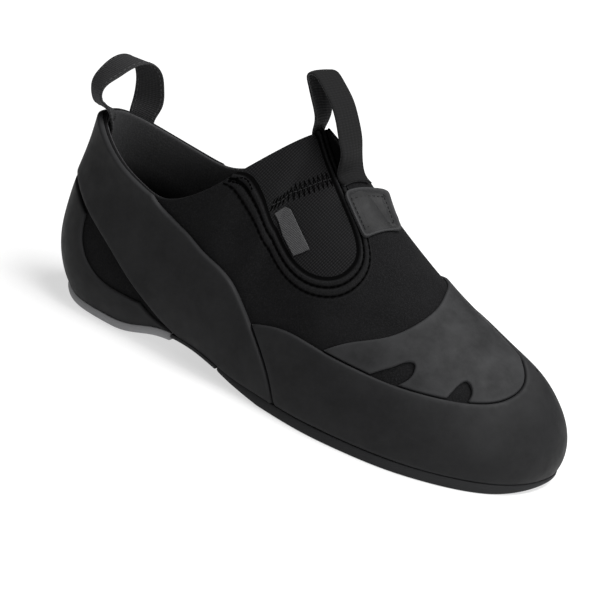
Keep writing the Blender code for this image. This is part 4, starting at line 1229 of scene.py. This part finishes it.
def make_zigzag():
    """The zigzag and its middle row across each gore, where the elastic is joined."""
    middle = curve(ZIGZAG, 0.0002)
    places = flat(middle)
    run = run_along(places)
    across = left_of(unit(np.gradient(places, axis=0)))
    count = int(run[-1] / ZIGZAG_PITCH) * 2
    at = np.linspace(0, run[-1], count + 1)
    zig = np.stack([np.interp(at, run, places[:, i]) for i in (0, 1)], -1)
    sideways = np.stack([np.interp(at, run, across[:, i]) for i in (0, 1)], -1)
    swing = np.where(np.arange(count + 1) % 2 == 0, 1, -1)[:, None]
    zig = unflat(zig + sideways * swing * ZIGZAG_HALF)
    teeth = [zig[i:i + 2] for i in range(count)]
    for name, turn in (("outer", np.asarray), ("inner", mirrored)):
        sewn_over(f"zigzag_{name}", [turn(tooth) for tooth in teeth], zigzag_depth, THREAD,
                  TOOTH_STITCH)
        sewn_over(f"zigzag_middle_{name}", [turn(middle)], zigzag_depth, GREY_THREAD,
                  MIDDLE_STITCH)


# Soles.

FEATHER_LOOP = FOOT(np.linspace(0, ROUND, 1400)[:-1])
HEEL_EDGE = 0.001
HEEL_EDGE_WIDTH = 0.008
TOE_LIFT = 0.002
TOE_LIFT_RUN = 0.016
OUTSOLE_TAPER = 0.024
OUTSOLE_THIN = 0.5
FEATHER_TREE = near_tree(FEATHER_LOOP[:, :2])


def seat(places):
    """Top of the soles: under the upper, and outside the feather line level with its nearest place."""
    height = sole_height(places[:, 0], places[:, 1])
    outside = ~contained(FEATHER_LOOP[:, :2], places)
    nearest = [FEATHER_TREE.find((x, y, 0))[1] for x, y in places[outside]]
    height[outside] = FEATHER_LOOP[nearest, 2]
    return height - GAP


def slab(name, outline, low, high, material, nodes, spacing=0.002, bevel=0.0007):
    """A sole piece in plan, between two heights, with rounded edges."""
    rings = [bevel * share for share in (0.25, 0.6, 1.0)]
    inner = lattice(outline, spacing, rings)
    faces = triangles_over(outline, inner)
    places = np.vstack([outline, inner])
    away = distances(near_tree(subdivided(outline)), places)
    inset = bevel * (1 - rounded(away, bevel, 0.0))
    lower, upper = low(places), high(places)
    lows = np.column_stack([places, lower + inset * 0.9])
    highs = np.column_stack([places, upper - inset * 0.35])
    # Paler sole edges: partly wear, partly a painted highlight on the rounded rims.
    wear_and_highlight = np.exp(-(away / SOLE_WEAR_AND_HIGHLIGHT_REACH) ** 2)
    return solid(name, highs, lows, highs, faces, material, nodes, places, wear_and_highlight)


def smooth_rim(start, end, reach):
    return rim(np.linspace(start, end, int((end - start) * 16)) % ROUND, reach)


def make_outsole():
    """The flat forefoot rubber, thin at the arch and lifted a little at the toe."""
    outline = smooth_rim(OUTSOLE_REAR, ROUND - OUTSOLE_REAR, GAP + RAND)
    rear_edge = outline[[0, -1], 0].mean()
    outline = np.vstack([outline, line(outline[-1], outline[0], 60)[1:-1]])

    def low(places):
        grow = np.clip((places[:, 0] - rear_edge) / OUTSOLE_TAPER, 0, 1)
        thick = OUTSOLE * (OUTSOLE_THIN + (1 - OUTSOLE_THIN) * grow)
        lift = np.clip((places[:, 0] - LENGTH + TOE_LIFT_RUN) / TOE_LIFT_RUN, 0, None) ** 2 * TOE_LIFT
        return np.maximum(seat(places) - thick, 0) + lift

    slab("forefoot_sole", outline, low, seat, SOLE, ["outsole"], bevel=0.0009)


def make_heel_sole():
    """The thin crescent under the heel."""
    outline = rim(np.linspace(-HEEL_FRONT, HEEL_FRONT, 240) % ROUND, GAP + CUP)
    outline = np.vstack([outline, line(outline[-1], outline[0], 50)[1:-1]])
    tree = near_tree(subdivided(outline))

    def low(places):
        edge = np.clip(1 - distances(tree, places) / HEEL_EDGE_WIDTH, 0, 1)
        return np.maximum(seat(places) - HEEL_SOLE, 0) + HEEL_EDGE * edge ** 2

    slab("heel_sole_rubber", outline, low, seat, HEEL_RUBBER, ["heel_sole"])


def make_arch_rubber():
    """The rubber under the arch, between the two soles."""
    rows = np.linspace(HEEL_FRONT, OUTSOLE_REAR, 50)
    outer, inner = rim(rows, GAP + STRAP), rim(ROUND - rows, GAP + STRAP)
    start, end = max(outer[0, 0], inner[0, 0]) + SEAM, min(outer[-1, 0], inner[-1, 0]) - SEAM
    along = np.linspace(start, end, len(rows))
    outer, inner = (np.column_stack([along, np.interp(along, *side.T)]) for side in (outer, inner))
    outline = chain(outer, line(outer[-1], inner[-1], 60), inner[::-1], line(inner[0], outer[0], 60))
    slab("arch_rubber_piece", outline, lambda places: seat(places) - ARCH_RUBBER, seat, RUBBER,
         ["arch_rubber"], bevel=0.0006)


def make_insole():
    """The board and lining that the foot stands on."""
    outline = rim(np.arange(0, ROUND, 0.08), -WALL - GAP)

    def low(places):
        return seat(places) + WALL + 3 * GAP

    slab("insole_lining", outline, low, lambda places: low(places) + INSOLE, BOARD,
         ["insole"], spacing=0.003)


# Pull loops.

WEB_COLUMNS = 15
WEB_STEP = 0.0006
WEB_FILL = 0.86


def ribbon(name, rails, thickness, material, nodes, width, rib=0.0, dark=(0.0, 0.0)):
    """Webbing through cross lines, with round selvedges and an edge cord."""
    rails = np.asarray(rails, float)
    run = run_along(rails[:, 1])
    count = int(run[-1] / WEB_STEP)
    at = np.linspace(0, run[-1], count)
    path = Spline(run, rails.reshape(len(rails), 9))(at).reshape(-1, 3, 3)
    across = np.sin(np.linspace(-math.pi / 2, math.pi / 2, WEB_COLUMNS))
    left, middle, right = (path[:, i][:, None] for i in range(3))
    bow = across[:, None]
    sheet = middle + (right - left) * bow / 2 + (left + right - 2 * middle) * bow ** 2 / 2
    out = unit(np.cross(np.gradient(sheet, axis=0), np.gradient(sheet, axis=1)))
    edge = 1 - np.abs(across)
    profile = np.sqrt(1 - (1 - np.clip(edge * width / 2 / (thickness * 0.6), 0, 1)) ** 2) * 0.85 + 0.15
    cord = rib * np.exp(-((edge * width / 2 - 0.0013) / 0.0006) ** 2)
    half = thickness / 2 * profile * WEB_FILL + cord
    steps, wide = sheet.shape[:2]
    cells = [(i * wide + k, i * wide + k + 1, (i + 1) * wide + k + 1, (i + 1) * wide + k)
             for i in range(steps - 1) for k in range(wide - 1)]
    faces = np.array([t for a, b, c, d in cells for t in ((a, c, b), (a, d, c))])
    offset = out * half[None, :, None]
    coordinates = np.stack(np.broadcast_arrays(across[None, :] * width / 2, at[:, None]), -1).reshape(-1, 2)
    # The mask paints shade on the lower face, as set for the front loop's inner face.
    mask = np.broadcast_to(dark, (steps * wide, 2))
    flat_sheet = sheet.reshape(-1, 3)
    solid(name, flat_sheet, (sheet - offset).reshape(-1, 3), (sheet + offset).reshape(-1, 3), faces, material,
          nodes, coordinates, mask)
    return path, out


SELVEDGE = 0.0014


def sewn_selvedges(name, path, out, width, thickness):
    """Rows of stitches along both edges of a webbing, on both faces."""
    left, middle, right = (path[:, i] for i in range(3))
    normal = out[:, out.shape[1] // 2]
    share = 1 - 2 * SELVEDGE / width
    runs, outs = [], []
    for across in (-share, share):
        row = middle + (right - left) * across / 2 + (left + right - 2 * middle) * across ** 2 / 2
        for side in (-1, 1):
            runs.append(row + normal * side * thickness * WEB_FILL / 2)
            outs.append(normal * side)
    sewn(name, runs, outs, LIGHT_THREAD, SELVEDGE_STITCH)


def straight(centre, way, width):
    """A straight cross line of webbing."""
    way = unit(np.asarray(way, float)) * width / 2
    return [centre - way, centre, centre + way]


def on_skin(places, depth):
    """A cross line of webbing that lies along the upper."""
    places = over_ridge(places)
    return list(skin(places[:, 0], places[:, 1], depth))


INSIDE = -(WALL + 2 * GAP + WEBBING / 2)
OUTSIDE = 2 * GAP + WEBBING / 2

# Where the front loop comes out from under the badge and where it is sewn inside the tongue.
FRONT_FOOT = [(9.98, 0.838), (10.12, 0.932), (10.26, 1.025)]
FRONT_FOOT_BACK = 0.2
FRONT_END = [(8.75, 0.95), (9.25, 1.0), (8.75, 1.05)]

# The front loop between the top of the tongue (0) and the badge (1).
# Columns: share of the way, rise as a share of the loop's rise, share of the webbing's width, and how far
# both edges curl forward as a share of half the width.
FRONT_LOOP = [
    (0.91, 0.21, 0.95, -0.05),
    (0.76, 0.37, 1.0, 0.0),
    (0.52, 0.56, 1.0, 0.0),
    (0.24, 0.69, 1.0, 0.0),
    (-0.15, 0.76, 1.0, 0.0),
    (-0.44, 0.74, 1.0, 0.1),
    (-0.64, 0.59, 1.0, 0.25),
    (-0.62, 0.45, 0.95, 0.35),
    (-0.48, 0.29, 0.88, 0.35),
    (-0.29, 0.14, 0.75, 0.2),
    (-0.18, 0.0, 0.6, 0.0),
    (-0.16, -0.15, 0.5, -0.1),
]

# The heel loop, from the middle of the heel over to the outside of the collar's inner side.
# Columns: offset from the heel's top as shares of the loop's rise, then the direction across the webbing.
HEEL_LOOP = [
    (0.04, -0.21, 0.1, 0.8, -0.58, 0.1),
    (-0.13, -0.21, 0.18, 0.8, -0.58, 0.15),
    (-0.2, -0.19, 0.38, 0.84, -0.53, 0.1),
    (-0.09, -0.08, 0.66, 0.95, -0.3, 0.0),
    (0.04, 0.12, 0.88, 0.98, -0.19, -0.05),
    (0.19, 0.36, 0.95, 0.98, -0.05, 0.0),
    (0.29, 0.54, 0.77, 0.95, 0.1, 0.1),
    (0.31, 0.66, 0.47, 0.9, 0.25, 0.1),
    (0.31, 0.68, 0.14, 0.85, 0.45, -0.1),
]
# Where the heel loop is sewn to the collar. Columns: row round the shoe, half width in rows, depth.
HEEL_LOOP_ENDS = [
    (0.9, 0.8, INSIDE),
    (32.17, -0.42, OUTSIDE + STRAP),
]
SEWN_HEIGHTS = (0.86, 0.93, 1.0)


def make_front_loop():
    """The front pull loop, from under the badge over and down inside the tongue."""
    rails = [on_skin(np.array(FRONT_FOOT) - (back, 0), OUTSIDE) for back in (0.0, FRONT_FOOT_BACK)]
    start, tongue = rails[1][1], base(TONGUE, 1.0)
    for share, rise, width, curl in FRONT_LOOP:
        centre = tongue + (start - tongue) * (share, max(share, 0.0), share) + UP * rise * FRONT_LOOP_RISE
        rail = straight(centre, (0, 1, 0), FRONT_WEB_WIDTH * width)
        ahead = np.array([curl * FRONT_WEB_WIDTH / 2, 0, 0])
        rails.append([rail[0] + ahead, rail[1], rail[2] + ahead])
    rails.append(on_skin(np.array(FRONT_END), INSIDE))
    # The inner face of the loop is painted dark as shade.
    ribbon("front_webbing", rails, WEBBING, WEB, ["front_pull_loop"], FRONT_WEB_WIDTH,
           dark=(0.9, 0.0))


def make_heel_loop():
    """The heel pull loop, sewn inside the collar at the heel and outside it on the inner side."""
    heel = base(0.0, 1.0)
    ends = []
    for middle, half, depth in HEEL_LOOP_ENDS:
        rows = (middle - half, middle, middle + half)
        stations = [on_skin(np.array([(t, s) for t in rows]), depth) for s in SEWN_HEIGHTS]
        stations[-1] = [place + UP * WEBBING for place in stations[-1]]
        ends.append(stations)
    free = [straight(heel + np.array(row[:3]) * HEEL_LOOP_RISE, row[3:], HEEL_WEB_WIDTH) for row in HEEL_LOOP]
    rails = ends[0] + free + ends[1][::-1]
    path, out = ribbon("heel_webbing", rails, WEBBING, HEEL_WEB, ["heel_pull_loop"],
                       HEEL_WEB_WIDTH, rib=0.0001)
    sewn_selvedges("heel_webbing_stitches", path, out, HEEL_WEB_WIDTH, WEBBING)


# Camera, floor and light.

TARGET = np.array([0.131, 0.0, 0.045])
AZIMUTH, ELEVATION, ROLL = math.radians(25), math.radians(19), math.radians(14)
DISTANCE = 0.7
LENS = 97.0
FRAME_PIXELS = 600
TARGET_PIXEL = (314, 286)


def make_camera():
    """The camera at the photograph's angle, rolled so that the shoe stands level on the floor."""
    back = Vector((math.sin(AZIMUTH) * math.cos(ELEVATION), -math.cos(AZIMUTH) * math.cos(ELEVATION),
                   math.sin(ELEVATION)))
    right = Vector((math.cos(AZIMUTH), math.sin(AZIMUTH), 0))
    up = back.cross(right)
    turned_right = right * math.cos(ROLL) + up * math.sin(ROLL)
    turned_up = up * math.cos(ROLL) - right * math.sin(ROLL)
    camera = bpy.data.objects.new("camera", bpy.data.cameras.new("camera"))
    camera.data.sensor_width = 36.0
    camera.data.lens = LENS
    camera.data.shift_x = (FRAME_PIXELS / 2 - TARGET_PIXEL[0]) / FRAME_PIXELS
    camera.data.shift_y = (TARGET_PIXEL[1] - FRAME_PIXELS / 2) / FRAME_PIXELS
    camera.data.clip_start = 0.01
    axes = Matrix((turned_right, turned_up, back)).transposed().to_4x4()
    place = Vector(TARGET + SHIFT) + back * DISTANCE
    camera.matrix_world = Matrix.Translation(place) @ axes
    bpy.context.scene.collection.objects.link(camera)
    bpy.context.scene.camera = camera


FLOOR_NEAR, FLOOR_FAR = 0.35, 1.1
FLOOR_HALF = 40.0


def make_floor():
    """A plain floor that reads white, glowing far from the shoe where the lights no longer reach."""
    size = FLOOR_HALF
    mesh = bpy.data.meshes.new("floor")
    corners = [(-size, -size, 0), (size, -size, 0), (size, size, 0), (-size, size, 0)]
    mesh.from_pydata(corners, [], [(0, 1, 2, 3)])
    finish = Finish("floor_white", (0.42, 0.42, 0.42), 0.9, specular=0.0)
    finish.colour(finish.blend(finish.noise(0.4, 1.0), (0.418, 0.418, 0.418), (0.422, 0.422, 0.422)))
    away = finish.add("ShaderNodeVectorMath", operation="LENGTH")
    finish.join(finish.place, away.inputs[0])
    far = finish.mapped(away.outputs["Value"], FLOOR_NEAR, FLOOR_FAR)
    finish.join(finish.blend(far, (0.6, 0.6, 0.6), (1.0, 1.0, 1.0)), finish.shader.inputs["Emission Color"])
    finish.shader.inputs["Emission Strength"].default_value = 1.0
    mesh.materials.append(finish.material)
    floor = bpy.data.objects.new("floor", mesh)
    bpy.context.scene.collection.objects.link(floor)


def area_light(name, place, aim, size, power):
    light = bpy.data.lights.new(name, "AREA")
    light.shape = "RECTANGLE"
    light.size, light.size_y = size
    light.energy = power
    thing = bpy.data.objects.new(name, light)
    thing.location = place
    thing.rotation_mode = "QUATERNION"
    thing.rotation_quaternion = (Vector(aim) - Vector(place)).to_track_quat("-Z", "Y")
    bpy.context.scene.collection.objects.link(thing)


SURROUND_STRENGTH = 0.18

# Columns: name, place, where it aims, its two sides and its power in watts.
LIGHTS = [
    ("top_light", (0.35, 0.1, 1.0), (0, 0, 0), (0.8, 0.7), 18),
    ("toe_light", (0.9, -0.4, 0.5), (0.05, 0, 0.03), (0.5, 0.5), 5),
]


def make_light():
    """A white surround with a large soft light above and a weaker one from the front."""
    world = bpy.data.worlds.new("surround")
    world.use_nodes = True
    surround = world.node_tree.nodes["Background"]
    surround.inputs["Color"].default_value = (1, 1, 1, 1)
    surround.inputs["Strength"].default_value = SURROUND_STRENGTH
    bpy.context.scene.world = world
    for light in LIGHTS:
        area_light(*light)


make_camera()
make_floor()
make_light()
make_upper()
make_gores()
make_bindings()
make_strap()
make_heel_cup()
make_rand()
make_toe_patch()
make_outsole()
make_heel_sole()
make_arch_rubber()
make_insole()
make_badge()
make_tag()
make_gore_stitches()
make_zigzag()
make_corner_rows()
make_back_seam()
make_front_loop()
make_heel_loop()

bpy.context.scene.view_settings.view_transform = "Standard"
